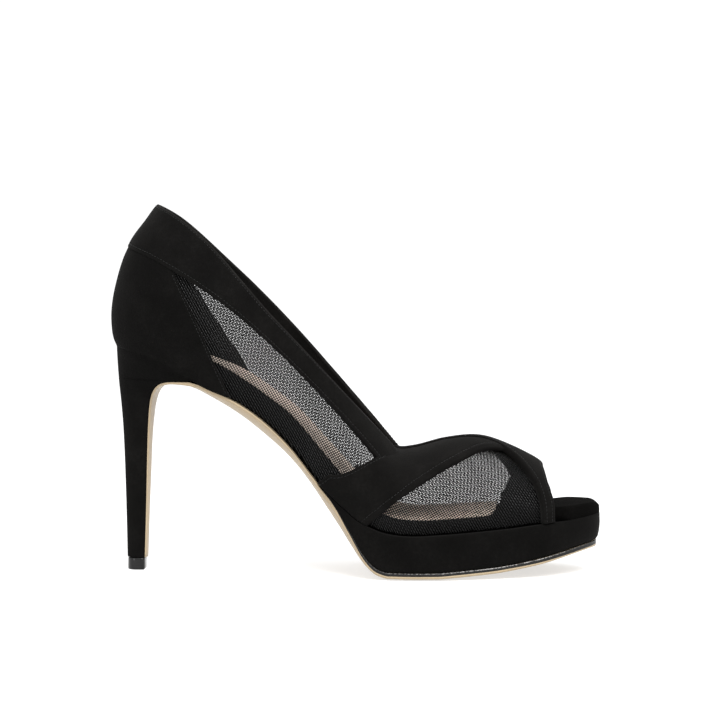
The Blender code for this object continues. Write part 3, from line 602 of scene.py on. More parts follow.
def come_in(x, start, length):
    """Share that grows from 0 to 1 over a range."""
    return np.clip((np.asarray(x) - start) / length, 0.0, 1.0)


def ease_in(x, start, length):
    """The same with a soft start and end."""
    share = come_in(x, start, length)
    return share ** 2 * (3 - 2 * share)


def toe_cap(x):
    return np.sqrt(1.0 - come_in(x, TOE_ROUND_START, TOE_END - TOE_ROUND_START) ** 2)


def column_by_side(name, x, side):
    lateral = follow(LAST, "x", name + "_lateral", x)
    medial = follow(LAST, "x", name + "_medial", x)
    return np.where(side < 0, lateral, medial) * toe_cap(x)


def heel_reach(turn):
    """Distance ahead of the back seam for an angle round the heel."""
    return HEEL_ROUND * np.where(turn < np.pi / 2, 1 - np.cos(turn), 1 + turn - np.pi / 2)


def heel_turn(reach):
    """Angle round the heel for a distance ahead of the back seam."""
    share = np.maximum(np.asarray(reach, dtype=float) / HEEL_ROUND, 0.0)
    return np.where(share < 1, np.arccos(np.clip(1 - share, -1, 1)), np.pi / 2 + share - 1)


def back(z):
    return follow(BACK, "z", "x", z)


def quarter_point(turn, z, side):
    """Point of the skin behind the throat, by angle round the heel and height."""
    x = back(z) + heel_reach(turn)
    share = np.clip((z - bottom(x)) / (ridge(x) - bottom(x)), 0.0, 1.0)
    belly_at = follow(LAST, "x", "belly_at", x)
    feather = column_by_side("half", x, side)
    belly = column_by_side("belly", x, side)
    low = feather + (belly - feather) * np.sin(np.pi / 2 * np.clip(share / belly_at, 0, 1))
    rise = np.clip((share - belly_at) / (1 - belly_at), 0, 1)
    half = np.where(share < belly_at, low, belly * np.sqrt(1 - rise ** 2))
    y = centre(x) + side * half * np.sin(np.minimum(turn, np.pi / 2))
    return np.stack([x, y, z + 0 * x], axis=-1)


def vamp_point(x, girth):
    """Point of the skin by length and by angle round the last."""
    side = np.where(girth < 90, *SIDES)
    angle = np.where(girth < 90, girth, 180 - girth)
    belly_at = follow(LAST, "x", "belly_at", x)
    feather = column_by_side("half", x, side)
    belly = column_by_side("belly", x, side)
    low_share = np.clip(angle / BELLY_GIRTH, 0, 1)
    low = feather + (belly - feather) * np.sin(np.pi / 2 * low_share)
    power = follow(VAMP, "x", "power", x)
    rise = np.clip((angle - BELLY_GIRTH) / (90 - BELLY_GIRTH), 0, 1)
    climb = np.pi / 2 * rise ** (1 / power)
    share = np.where(angle < BELLY_GIRTH, belly_at * low_share,
                     belly_at + (1 - belly_at) * np.sin(climb) ** power)
    half = np.where(angle < BELLY_GIRTH, low, belly * np.maximum(np.cos(climb), 0) ** power)
    z = bottom(x) + share * (follow(VAMP, "x", "ridge", x) - bottom(x))
    return np.stack([x + 0 * z, centre(x) + side * half, z], axis=-1)


def unit(vectors):
    return vectors / np.maximum(np.linalg.norm(vectors, axis=-1, keepdims=True), 1e-12)


def outward(grid):
    """Unit normals of a grid of points, pointing out of the shoe."""
    normal = unit(np.cross(np.gradient(grid, axis=0), np.gradient(grid, axis=1)))
    middle = np.array([grid[..., 0].mean(), 0.0, grid[..., 2].mean() - CORE_DEPTH])
    if np.sum(normal * (grid - middle)) < 0:
        normal = -normal
    return normal


def across(points):
    """Length along each row of a grid, up to every column."""
    steps = np.linalg.norm(np.diff(points, axis=1), axis=-1)
    start = np.zeros((len(points), 1))
    return np.concatenate([start, np.cumsum(steps, axis=1)], axis=1)


def edge_lengths(grid):
    """Distance of every point of a grid to both ends of its row and to the first row."""
    row_wise = across(grid)
    return {
        "first_column": row_wise,
        "last_column": row_wise[:, -1:] - row_wise,
        "first_row": across(grid.transpose(1, 0, 2)).T,
    }


def finely_at_edges(width, count):
    """Places from 0 to 1 over lines of the given widths, close together near both ends."""
    width = np.asarray(width, dtype=float)[:, None]
    edge = np.array(EDGE_MARKS)
    near = edge * np.minimum(1.0, EDGE_SHARE * width / edge[-1]) / width
    t = np.linspace(0, 1, count + 2)[1:-1]
    start = near[:, -1:]
    middle = start + t * (1 - 2 * start)
    return np.concatenate([near, middle, 1 - near[:, ::-1]], axis=1)


# Grids of the upper

def collar_edge(level, side, place):
    """Turn and height of the collar's topline or lower edge on one side, at a row number."""
    last = len(COLLAR["low_x"]) - 1
    rows = np.linspace(0, last, ROW_STEPS * last + 1)
    x = along_rows(COLLAR[level + "_x"], rows)
    z = along_rows(COLLAR[level + "_z"], rows)
    if level == "high" and side > 0:
        z = z - along_rows(COLLAR["medial_drop"], rows)
    turn = np.maximum.accumulate(heel_turn(x - back(z)))
    turn[0] = 0.0
    marks = turn[::ROW_STEPS]
    at = along_rows(np.concatenate([-marks[:0:-1], marks]), np.asarray(place) + last)
    return at, np.interp(at, turn, z)


def collar_points(places, share):
    """Points of the collar; share is 0 at the lower edge and 1 at the topline."""
    side = np.where(places < 0, *SIDES)
    edges = []
    for level in ("low", "high"):
        lateral, medial = [collar_edge(level, one, np.abs(places)) for one in SIDES]
        edges += [np.where(side < 0, lateral[k], medial[k])[:, None] for k in (0, 1)]
    low_turn, low_z, high_turn, high_z = edges
    turn = low_turn + share * (high_turn - low_turn)
    z = low_z + share * (high_z - low_z)
    return quarter_point(turn, z, side[:, None] + 0 * z)


def collar_grid():
    rows, columns = COLLAR_STEPS
    end = len(COLLAR["low_x"]) - 1
    places = np.linspace(-end, end, rows)
    rough = collar_points(places, np.linspace(0, 1, 9) + 0 * places[:, None])
    return collar_points(places, finely_at_edges(across(rough)[:, -1], columns))


def collar_low(place):
    """Turn and height of the collar's lower edge at a row number."""
    return collar_edge("low", LATERAL, place)


def counter_grid():
    """Grid of the counter from the feather edge to a lap under the collar band."""
    rows, columns = COUNTER_STEPS
    near = np.array(EDGE_MARKS) / COUNTER_RUN
    run = np.linspace(near[-1] - 1.0, 1.0 - near[-1], columns)
    shares = np.concatenate([near - 1.0, run[1:-1], 1.0 - near[::-1]])
    side = np.where(shares < 0, *SIDES)
    low_turn = heel_turn(np.where(side < 0, *COUNTER_FOOT) - SEAT_BACK) * np.abs(shares)
    low_z = bottom(SEAT_BACK + heel_reach(low_turn))
    band_turn, band_z = collar_low(np.linspace(0, COUNTER_BAND_ROWS, 40))
    head = np.where(side < 0, COUNTER_FRONT["lateral"][-1], COUNTER_FRONT["medial"][-1])
    high_turn = heel_turn(head - back(COUNTER_FRONT["z"][-1])) * np.abs(shares)
    high_z = np.interp(high_turn, band_turn, band_z) + BAND_LAP
    grid = []
    for t in np.linspace(0.0, 1.0, rows):
        z = low_z + t * (high_z - low_z)
        ends = []
        for word, edge_z in (("lateral", z[0]), ("medial", z[-1])):
            ends.append(heel_turn(follow(COUNTER_FRONT, "z", word, edge_z) - back(edge_z)))
        grid.append(quarter_point(np.where(side < 0, *ends) * np.abs(shares), z, side))
    return np.array(grid)


def strap_points(place, t, mirrored):
    """Points of one strap; t is 0 at the rear edge and 1 at the front edge."""
    row = {name: along_rows(values, place)[:, None] for name, values in STRAP.items()}
    if mirrored:
        front = row["front_x"]
        rear_girth = row["rear_girth"] - row["dip"]
    else:
        front = row["front_x"] - row["short"]
        rear_girth = row["rear_girth"] + row["tuck"]
    x = row["rear_x"] + t * (front - row["rear_x"])
    girth = np.clip(rear_girth + t * (row["front_girth"] - rear_girth), 0.0, 180.0)
    return vamp_point(x, 180.0 - girth if mirrored else girth)


def strap_grid(mirrored):
    rows, columns = STRAP_STEPS
    place = np.linspace(0, len(STRAP["rear_x"]) - 1, rows)
    rough = strap_points(place, np.linspace(0, 1, 15) + 0 * place[:, None], mirrored)
    return strap_points(place, finely_at_edges(across(rough)[:, -1], columns), mirrored)

def sunk_edge(distance, drop, width, radius):
    """How far the outside of a panel falls towards an edge that is skived and rounded."""
    slope = drop * (1 - np.sin(np.pi / 2 * np.clip(distance / width, 0, 1)))
    near = np.clip(1 - distance / radius, 0, 1)
    return slope + radius * (1 - np.sqrt(1 - near ** 2))


def stitch_groove(distance, place, depth):
    return depth * np.exp(-((distance - place) / GROOVE_WIDTH) ** 2)


def uneven(points, size):
    """Slight unevenness of hand-lasted suede."""
    x, y, z = points[..., 0], points[..., 1], points[..., 2]
    return size * (np.sin(0.21 * x + 0.13 * z + 0.6) * np.sin(0.17 * z - 0.11 * y)
                   + 0.6 * np.sin(0.33 * z + 0.27 * y + 1.1) * np.sin(0.29 * x + 0.4))


def layered(grid, layer, fall, inner_round=0.0, rim=None):
    """Outside and inside of a panel on the skin, kept above the feather edge."""
    normal = outward(grid)
    outside = grid + normal * (layer[1] - fall + uneven(grid, UNEVENNESS))[..., None]
    lift = 0.0 * fall
    if rim is not None:
        near = np.clip(1 - rim / inner_round, 0, 1)
        lift = inner_round * (1 - np.sqrt(1 - near ** 2))
    inside = grid + normal * (layer[0] + lift)[..., None]
    for points in (outside, inside):
        points[..., 2] = np.maximum(points[..., 2], bottom(points[..., 0]))
    return outside, inside, normal


def suede_grid(name):
    if name == "counter":
        return counter_grid()
    if name == "collar_band":
        return collar_grid()
    return strap_grid(name == "over_strap")


def suede_panel(name, sizes):
    """Outside, inside, normals and edge distances of a suede panel."""
    grid = suede_grid(name)
    reach = edge_lengths(grid)
    reach["front"] = np.minimum(reach["first_column"], reach["last_column"])
    depth = sizes.groove_depth / MILLIMETRE
    fall = 0.0
    for edge, (drop, width, radius, stitches, pull) in SUEDE_EDGES[name].items():
        fall = fall + sunk_edge(reach[edge], drop, width, radius)
        fall = fall + stitch_groove(reach[edge], stitches, pull * depth)
    rim = None
    if name == "counter":
        fall = fall + COUNTER_FOOT_FALL * np.exp(-(reach["first_row"] / COUNTER_FOOT_WIDTH) ** 2)
    elif name == "collar_band":
        rim = reach["last_column"]
    return *layered(grid, SUEDE_LAYERS[name], fall, TOPLINE_ROUND, rim), reach

# Grids of the sole

def outline(stations, grow):
    """Lateral and medial plan edges of the last, moved out by grow at each station."""
    runs = []
    for side in SIDES:
        turn = np.minimum(heel_turn(stations - SEAT_BACK), np.pi / 2)
        half = column_by_side("half", stations, side) * np.sin(turn)
        edge = np.stack([stations, centre(stations) + side * half], axis=-1)
        run = unit(np.gradient(edge, axis=0))
        normal = np.stack([-run[:, 1], run[:, 0]], axis=-1) * side
        normal[:, 0] *= come_in(np.abs(stations), *OUTLINE_END_RANGE)
        runs.append(edge + normal * np.asarray(grow)[..., None])
    return runs


def raised(runs, height):
    """Outline runs lifted to a height that follows the length."""
    return [np.column_stack([run, height(run[:, 0])]) for run in runs]


def padded_rings(runs, lift, spreads):
    """Rings over the padded top of the footbed, from its edge to near the centre line."""
    rings = []
    for share in spreads:
        ring = []
        for run, side in zip(runs, SIDES):
            x = run[:, 0]
            middle = centre(x)
            y = middle + share * (run[:, 1] - middle)
            half = np.maximum(column_by_side("half", x, side) - PAD_EDGE, 1.0)
            spread = np.clip(side * (y - middle) / half, 0, 1)
            ring.append(np.column_stack([x, y, footbed_top(x, side, spread) + lift]))
        rings.append(ring)
    return rings


def sole_under(x):
    return np.maximum(follow(SOLE, "x", "under", x), 0.0)


def sole_top(x):
    """Upper side of the sole: against the upper at the waist, lower under the platform."""
    under = sole_under(x)
    slope = sole_under(x + 0.5) - sole_under(x - 0.5)
    lift = follow(SOLE, "x", "thick", x) * np.sqrt(1 + slope ** 2)
    return np.minimum(bottom(x) - GAP, under + lift)


def footbed_top(x, side, spread=1.0):
    """Top of the footbed; spread is 0 on the centre line and 1 at the edge."""
    crown = follow(FOOTBED, "x", "crown", x) * (1 - spread ** 2)
    tilt = follow(FOOTBED, "x", "tilt", x) * (1 + side * spread) / 2
    nose = NOSE_DROP * come_in(x, NOSE_START, TOE_END - NOSE_START) ** 2
    return bottom(x) + follow(FOOTBED, "x", "edge", x) + crown - tilt - nose


def footbed_edge(runs, drop):
    """Outline runs lifted to a depth below the edge of the footbed."""
    lifted = []
    for run, side in zip(runs, SIDES):
        x = run[:, 0]
        height = np.maximum(footbed_top(x, side) - drop, bottom(x) + 0.1)
        lifted.append(np.column_stack([run, height]))
    return lifted


def sole_run(start):
    """Stations along the sole, close together where it bends down to the tread and at the toe."""
    curve = np.sin(np.pi / 2 * np.linspace(0, 1, 41))[:40]
    toe = SOLE_TOE_START + (TOE_END - SOLE_TOE_START) * curve
    run = np.concatenate([np.arange(SOLE_START, SOLE_BEND[0], 2.0), np.arange(*SOLE_BEND, 1.0),
                          np.arange(SOLE_BEND[1], SOLE_TOE_START - 1.0, 2.0), toe])
    return run[run >= start]


def footbed_run(start, end):
    """Stations close together at both rounded ends, without the end points."""
    curve = 1 - np.cos(np.pi / 2 * np.linspace(0, 1, 25)[1:])
    middle = np.arange(start + FOOTBED_HEEL_ROUND + 1.5, end - FOOTBED_TOE_ROUND - 1.0, 2.0)
    return np.concatenate([start + FOOTBED_HEEL_ROUND * curve, middle,
                           end - FOOTBED_TOE_ROUND * curve[::-1]])


def heel_half(depth):
    return SEAT_HALF * follow(HEEL_FLARE, "depth", "share", depth)


def seat_x(z):
    """Length at which the seat reaches a height."""
    x = np.linspace(SEAT_BACK - 0.1, SOLE_START, 400)
    return np.interp(-z, -(bottom(x) + SEAT_LAP), x)


# Meshes

def to_frame(points):
    """Table millimetres to metres in the frame of the part."""
    return (np.asarray(points, dtype=float) - (ORIGIN_X, ORIGIN_Y, 0.0)) * MILLIMETRE


def add_mesh(name, points, faces, finishes, finish_of_face=None):
    """Smooth mesh object from millimetre points, its faces turned outward."""
    mesh = bpy.data.meshes.new(name)
    mesh.from_pydata(to_frame(points).tolist(), [], [list(face) for face in faces])
    for finish in finishes:
        mesh.materials.append(finish)
    if finish_of_face is not None:
        mesh.polygons.foreach_set("material_index", np.asarray(finish_of_face, dtype=np.int32))
    work = bmesh.new()
    work.from_mesh(mesh)
    bmesh.ops.recalc_face_normals(work, faces=work.faces)
    if work.calc_volume(signed=True) < 0:
        bmesh.ops.reverse_faces(work, faces=work.faces)
    work.to_mesh(mesh)
    work.free()
    mesh.polygons.foreach_set("use_smooth", np.ones(len(mesh.polygons), dtype=bool))
    mesh.update()
    piece = bpy.data.objects.new(name, mesh)
    bpy.context.scene.collection.objects.link(piece)
    return piece


def seat_piece(piece, slot, *nodes):
    """Puts a piece on the part in place of CAD nodes; its slot is not used."""
    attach(piece, "root")
    if nodes:
        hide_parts(*nodes)


def grid_quads(rows, columns):
    start = np.arange(rows - 1)[:, None] * columns + np.arange(columns - 1)
    start = start.ravel()
    return np.stack([start, start + 1, start + columns + 1, start + columns], axis=-1)


def grid_rim(rows, columns):
    top = np.arange(columns)
    right = np.arange(1, rows) * columns + columns - 1
    low = (rows - 1) * columns + np.arange(columns - 2, -1, -1)
    left = np.arange(rows - 2, 0, -1) * columns
    return np.concatenate([top, right, low, left])


def add_shell(name, outside, inside, finishes, turned=0):
    """Closed panel between two grids: first finish outside and on its rim, second inside, and a third
    on a number of columns along its last edge; on the collar band that third finish is a lighter suede,
    a painted highlight along the turned topline."""
    rows, columns = outside.shape[:2]
    count = rows * columns
    points = np.concatenate([outside.reshape(-1, 3), inside.reshape(-1, 3)])
    quads = grid_quads(rows, columns)
    rim = grid_rim(rows, columns)
    ahead = np.roll(rim, -1)
    wall = np.stack([rim, ahead, ahead + count, rim + count], axis=-1)
    faces = np.concatenate([quads, quads[:, ::-1] + count, wall])
    face_columns = np.tile(np.arange(columns - 1), rows - 1)
    near_edge = face_columns >= columns - 1 - turned
    on_edge = (turned > 0) & (rim % columns == columns - 1) & (ahead % columns == columns - 1)
    kinds = np.concatenate([np.where(near_edge, 2, 0), np.where(near_edge, 2, 1),
                            np.where(on_edge, 2, 0)])
    return add_mesh(name, points, faces.tolist(), finishes, kinds)


def ring_walls(count, size):
    """Quads between neighbouring rings of points."""
    start = np.arange(count - 1)[:, None] * size
    here = (start + np.arange(size)).ravel()
    ahead = (start + (np.arange(size) + 1) % size).ravel()
    return np.stack([here, ahead, ahead + size, here + size], axis=-1).tolist()


def add_loft(name, sections, finishes, finish_of_column=None, finish_of_end=0):
    """Closed body through a row of sections with equal point counts."""
    sections = np.asarray(sections, dtype=float)
    count, size = sections.shape[:2]
    faces = ring_walls(count, size)
    kinds = np.zeros(len(faces), dtype=int)
    if finish_of_column is not None:
        kinds = np.tile(np.asarray(finish_of_column, dtype=int), count - 1)
    faces.append(list(range(size)))
    faces.append(list(range((count - 1) * size, count * size)))
    kinds = np.concatenate([kinds, [0, finish_of_end]])
    return add_mesh(name, sections.reshape(-1, 3), faces, finishes, kinds)


def add_slab(name, rings, finishes):
    """Closed body from stacked outlines; each ring has a lateral and a medial run of points."""
    run = len(rings[0][0])
    size = 2 * run
    loops = np.array([np.concatenate([left, right[::-1]]) for left, right in rings])
    faces = ring_walls(len(loops), size)
    for first in (0, (len(loops) - 1) * size):
        for j in range(run - 1):
            far = first + size - 1 - j
            faces.append([first + j, first + j + 1, far - 1, far])
    return add_mesh(name, loops.reshape(-1, 3), faces, finishes)


# Materials

class Finish:
    """A procedural material on one Principled shader; its patterns are in metres."""

    def __init__(self, name):
        self.material = bpy.data.materials.new(name)
        self.material.use_nodes = True
        self.tree = self.material.node_tree
        self.shader = self.tree.nodes["Principled BSDF"]
        self.place = self.tree.nodes.new("ShaderNodeTexCoord").outputs["Object"]

    def set(self, **values):
        self.fill(self.shader, values)

    def fill(self, node, values):
        for name, value in values.items():
            node.inputs[name.replace("_", " ")].default_value = value

    def add(self, kind, links, **values):
        """A node with its inputs linked or set."""
        node = self.tree.nodes.new("ShaderNode" + kind)
        self.fill(node, values)
        for name, source in links.items():
            self.tree.links.new(source, node.inputs[name])
        return node

    def noise(self, scale, detail, roughness):
        node = self.add("TexNoise", {"Vector": self.place}, Scale=scale, Detail=detail,
                        Roughness=roughness)
        return node.outputs["Fac"]

    def cells(self, scale):
        node = self.add("TexVoronoi", {"Vector": self.place}, Scale=scale)
        node.feature = "DISTANCE_TO_EDGE"
        return node.outputs["Distance"]

    def blend(self, first, second, share):
        """Mean of two values, with the share of the second."""
        return self.add("Mix", {"A": first, "B": second}, Factor=share).outputs["Result"]

    def ramp(self, value, *stops):
        node = self.add("ValToRGB", {"Fac": value})
        while len(node.color_ramp.elements) < len(stops):
            node.color_ramp.elements.new(0.5)
        for element, (place, colour) in zip(node.color_ramp.elements, stops):
            element.position = place
            element.color = (*colour, 1.0)
        return node.outputs["Color"]

    def stretch(self, value, start, end, low, high):
        node = self.add("MapRange", {"Value": value}, From_Min=start, From_Max=end, To_Min=low,
                        To_Max=high)
        return node.outputs["Result"]

    def span(self, value, low, high):
        """The middle of a pattern, spread between two numbers."""
        return self.stretch(value, 0.3, 0.7, low, high)

    def along(self, axis, start, end):
        """A value that grows from 0 to 1 between two places on an axis of the shoe."""
        split = self.add("SeparateXYZ", {"Vector": self.place})
        return self.stretch(split.outputs[axis], start, end, 0.0, 1.0)

    def mix_colours(self, first, second, share):
        node = self.add("Mix", {})
        node.data_type = "RGBA"
        for source, socket in ((share, "Factor"), (first, 6), (second, 7)):
            self.tree.links.new(source, node.inputs[socket])
        return node.outputs[2]

    def feed(self, socket, value):
        self.tree.links.new(value, self.shader.inputs[socket])

    def dress(self, colour, pattern, stops, roughness, shine):
        """One pattern for the colour and the roughness."""
        tones = [(place, shade(colour, share)) for place, share in stops]
        self.feed("Base Color", self.ramp(pattern, *tones))
        self.feed("Roughness", self.span(pattern, *roughness))
        self.set(Specular_IOR_Level=shine)

    def bump(self, height, strength, depth, under=None):
        links = {"Height": height}
        if under is not None:
            links["Normal"] = under
        return self.add("Bump", links, Strength=strength, Distance=depth).outputs["Normal"]


def shade(colour, share):
    return tuple(channel * share for channel in colour)


def suede_finish(name, colour, sheen, top):
    """Napped suede: clouded by the lie of the nap, with short fibres. From 60 to 85 mm up, the colour
    falls to the top share of itself. This is a painted shade where the heel's cover faces down under
    the seat."""
    finish = Finish(name)
    cloud = finish.noise(70.0, 4.0, 0.6)
    nap = finish.noise(750.0, 5.0, 0.7)
    fibre = finish.noise(4200.0, 3.0, 0.7)
    tone = finish.blend(cloud, nap, 0.45)
    # Plain tone and a copy darkened by the top share, blended in with height: painted shade high on the
    # heel
    unshaded_and_shaded_tones = [finish.ramp(tone, (0.32, shade(colour, 0.62 * share)), (0.5, shade(colour, share)),
                        (0.7, shade(colour, 1.75 * share))) for share in (1.0, top)]
    finish.feed("Base Color", finish.mix_colours(*unshaded_and_shaded_tones, finish.along("Z", 0.06, 0.085)))
    soft = finish.bump(nap, 0.35, 0.0003)
    finish.feed("Normal", finish.bump(fibre, 0.5, 0.00012, soft))
    finish.feed("Roughness", finish.span(nap, 0.88, 1.0))
    finish.set(Specular_IOR_Level=0.8 * sheen, Sheen_Weight=sheen, Sheen_Roughness=0.5,
               Sheen_Tint=(0.62, 0.6, 0.58, 1.0))
    return finish.material


def lining_finish(name, colour):
    """Fine black lining leather."""
    finish = Finish(name)
    grain = finish.cells(1500.0)
    cloud = finish.noise(240.0, 4.0, 0.6)
    finish.dress(colour, cloud, ((0.35, 0.7), (0.65, 1.4)), (0.5, 0.68), 0.05)
    finish.feed("Normal", finish.bump(grain, 0.3, 0.0001))
    return finish.material


def thread_finish(name, colour, shine):
    """Spun synthetic thread with a dull shine."""
    finish = Finish(name)
    twist = finish.noise(2600.0, 3.0, 0.6)
    finish.dress(colour, twist, ((0.3, 0.6), (0.7, 1.6)), (0.22, 0.36), shine)
    finish.feed("Normal", finish.bump(twist, 0.25, 0.00005))
    return finish.material


def leather_finish(name, colour, roughness, grain_size, depth, shine, rear=1.0):
    """Smooth vegetable-tanned leather with fine grain and slight clouding; rear is the share of its
    colour kept behind the ball of the foot, a painted shade where the sock lies deep inside the shoe."""
    finish = Finish(name)
    cloud = finish.noise(60.0, 5.0, 0.6)
    grain = finish.cells(grain_size)
    pores = finish.noise(grain_size * 1.7, 3.0, 0.6)
    tone = finish.blend(cloud, pores, 0.3)
    # Painted shade: the darker rear copy gives way to the plain tone from -5 to 25 mm along the shoe
    unshaded_and_shaded_tones = [finish.ramp(tone, (0.3, shade(colour, 0.86 * share)), (0.52, shade(colour, share)),
                        (0.72, shade(colour, 1.1 * share))) for share in (rear, 1.0)]
    finish.feed("Base Color", finish.mix_colours(*unshaded_and_shaded_tones, finish.along("X", -0.005, 0.025)))
    finish.feed("Roughness", finish.span(cloud, roughness - 0.07, roughness + 0.08))
    soft = finish.bump(pores, 0.2, depth)
    finish.feed("Normal", finish.bump(grain, 0.25, depth, soft))
    finish.set(Specular_IOR_Level=shine)
    return finish.material


def gloss_finish(name, colour, roughness, shine):
    """Polished black edge ink or moulded tip."""
    finish = Finish(name)
    wear = finish.noise(420.0, 4.0, 0.65)
    finish.dress(colour, wear, ((0.35, 0.8), (0.7, 1.5)), (roughness - 0.06, roughness + 0.1), shine)
    finish.feed("Normal", finish.bump(wear, 0.08, 0.0001))
    return finish.material


def bead_finish(name, colour):
    """Bead along the top of the sole's edge: inked at the waist, with a painted silvery highlight,
    dotted by noise, along the forefoot that gives way to ink again at the toe.
    """
    finish = Finish(name)
    wear = finish.noise(1100.0, 3.0, 0.6)
    # Painted highlight: a light grey dotted line, blended in from 0 to 50 mm along the shoe and out
    # again from 85 to 104 mm
    painted_highlight = finish.ramp(wear, (0.42, (0.02, 0.02, 0.02)), (0.6, (0.3, 0.29, 0.28)))
    inked = finish.ramp(wear, (0.3, colour), (0.7, shade(colour, 2.0)))
    fading = finish.mix_colours(inked, painted_highlight, finish.along("X", 0.0, 0.05))
    finish.feed("Base Color", finish.mix_colours(fading, inked, finish.along("X", 0.085, 0.104)))
    finish.feed("Roughness", finish.span(wear, 0.3, 0.5))
    finish.feed("Normal", finish.bump(wear, 0.2, 0.0001))
    finish.set(Specular_IOR_Level=0.25)
    return finish.material


def shared_finish(name, make, *values):
    """A finish that is made once and used by several pieces."""
    return bpy.data.materials.get(name) or make(name, *values)


def suede_pair(kind="strap", share=1.0, sheen=0.03, top=1.0):
    """Suede of one lot, brushed lighter or darker than the straps, and its lining; top is the share of
    its colour kept high up, as painted shade.
    """
    colours = bpy.context.scene.pump_colours
    return [shared_finish(kind + "_suede", suede_finish, shade(colours.suede, share), sheen, top),
            shared_finish("lining_leather", lining_finish, colours.lining)]


# Net

def inside_border(a, b, border):
    """Which points lie inside a closed border."""
    found = np.zeros(a.shape, dtype=bool)
    for (a0, b0), (a1, b1) in zip(border, np.roll(border, -1, axis=0)):
        if b0 == b1:
            continue
        crosses = (b0 > b) != (b1 > b)
        found ^= crosses & (a < a0 + (b - b0) * (a1 - a0) / (b1 - b0))
    return found


def thread_tubes(points, normals, kept, width, height):
    """Four-sided tubes along the kept stretches of a family of threads."""
    before = np.zeros_like(kept)
    after = np.zeros_like(kept)
    before[:, 1:] = kept[:, 1:] & kept[:, :-1]
    after[:, :-1] = before[:, 1:]
    kept = before | after
    side = unit(np.cross(normals, unit(np.gradient(points, axis=1))))
    ring = np.stack([points + side * width / 2, points + normals * height / 2,
                     points - side * width / 2, points - normals * height / 2], axis=2)
    number = np.cumsum(kept).reshape(kept.shape) - 1
    here = 4 * number[after][:, None]
    ahead = 4 * (number[:, 1:][after[:, :-1]])[:, None]
    corner = np.arange(4)
    beside = (corner + 1) % 4
    walls = np.stack([here + corner, here + beside, ahead + beside, ahead + corner], axis=-1)
    first = 4 * number[kept & ~before][:, None] + corner[::-1]
    last = 4 * number[kept & ~after][:, None] + corner
    faces = np.concatenate([walls.reshape(-1, 4), first, last])
    return ring[kept].reshape(-1, 3), faces


def woven_net(name, surface, border, sizes, side, finishes):
    """Square net of threads that pass over and under each other, laid on a surface."""
    share = sizes.medial_net_share if side > 0 else 1.0
    net_turn = sizes.net_turn + (sizes.medial_net_turn if side > 0 else 0.0)
    pitch = sizes.net_pitch * share / MILLIMETRE
    width = sizes.thread_width * share / MILLIMETRE
    height = sizes.thread_height / MILLIMETRE
    middle = border.mean(axis=0)
    half = int(np.linalg.norm(border - middle, axis=1).max() / pitch) + 1
    lines = np.arange(-half, half + 1)
    marks = np.arange(-2 * half, 2 * half + 1)
    points = []
    faces = []
    kinds = []
    count = 0
    for family in (0, 1):
        p = (lines * pitch)[:, None] + 0.0 * marks
        q = marks * pitch / 2 + 0.0 * lines[:, None]
        u, v = (p, q) if family == 0 else (q, p)
        a = middle[0] + u * np.cos(net_turn) - v * np.sin(net_turn)
        b = middle[1] + u * np.sin(net_turn) + v * np.cos(net_turn)
        kept = inside_border(a, b, border)
        skin = surface(a, b)
        normal = unit(np.cross(surface(a + PROBE, b) - skin, surface(a, b + PROBE) - skin))
        if np.sum((normal * (skin - (0, 0, skin[..., 2].mean() - CORE_DEPTH)))[kept]) < 0:
            normal = -normal
        over = np.where((marks // 2 + lines[:, None]) % 2 == 0, 1.0, -1.0)
        wave = np.where(marks % 2 == 0, over, 0.0) * (1 if family == 0 else -1) * height * WEAVE
        centres = skin + normal * (NET_HEIGHT + wave)[..., None]
        tube_points, tube_faces = thread_tubes(centres, normal, kept, width, height)
        points.append(tube_points)
        faces.append(tube_faces + count)
        kinds.append(np.full(len(tube_faces), family))
        count += len(tube_points)
    return add_mesh(name, np.concatenate(points), np.concatenate(faces).tolist(), finishes,
                    np.concatenate(kinds))


def quarter_border():
    """Border of a quarter net as seen from the side."""
    share = np.linspace(0.0, 1.0, 60)
    low_x = QUARTER_NET_START + share * QUARTER_NET_LENGTH
    low = np.column_stack([low_x, bottom(low_x) - GAP])
    high_turn, high_z = collar_low(QUARTER_NET_FIRST_ROW + share * QUARTER_NET_ROWS)
    lift = QUARTER_NET_RISE * MESH_LAP
    high = np.column_stack([back(high_z) + heel_reach(high_turn) + lift, high_z + lift])
    return np.concatenate([low, high[::-1]])


def quarter_surface(side):
    def surface(x, z):
        return quarter_point(heel_turn(x - back(z)), z, side + 0 * z)
    return surface


def girth_table(side):
    """Length round the last from the feather edge, for sections along the vamp."""
    x = np.linspace(-5.0, 100.0, 71)
    girth = np.linspace(0.0, 90.0, 181)
    points = vamp_point(x[:, None], np.where(side < 0, girth, 180 - girth)[None, :] + 0 * x[:, None])
    return x, girth, across(points)


def vamp_surface(side):
    """Surface of one side of the vamp by length and by distance up from the feather edge."""
    places, girth, lengths = girth_table(side)

    def surface(x, up):
        rows = np.array([np.interp(up.ravel(), line, girth) for line in lengths])
        place = np.clip((x.ravel() - places[0]) / (places[1] - places[0]), 0, len(places) - 1.001)
        cell = place.astype(int)
        share = place - cell
        column = np.arange(up.size)
        angle = rows[cell, column] * (1 - share) + rows[cell + 1, column] * share
        angle = angle.reshape(up.shape)
        return vamp_point(x, np.where(side < 0, np.minimum(angle, 89.99), 180 - angle))
    return surface


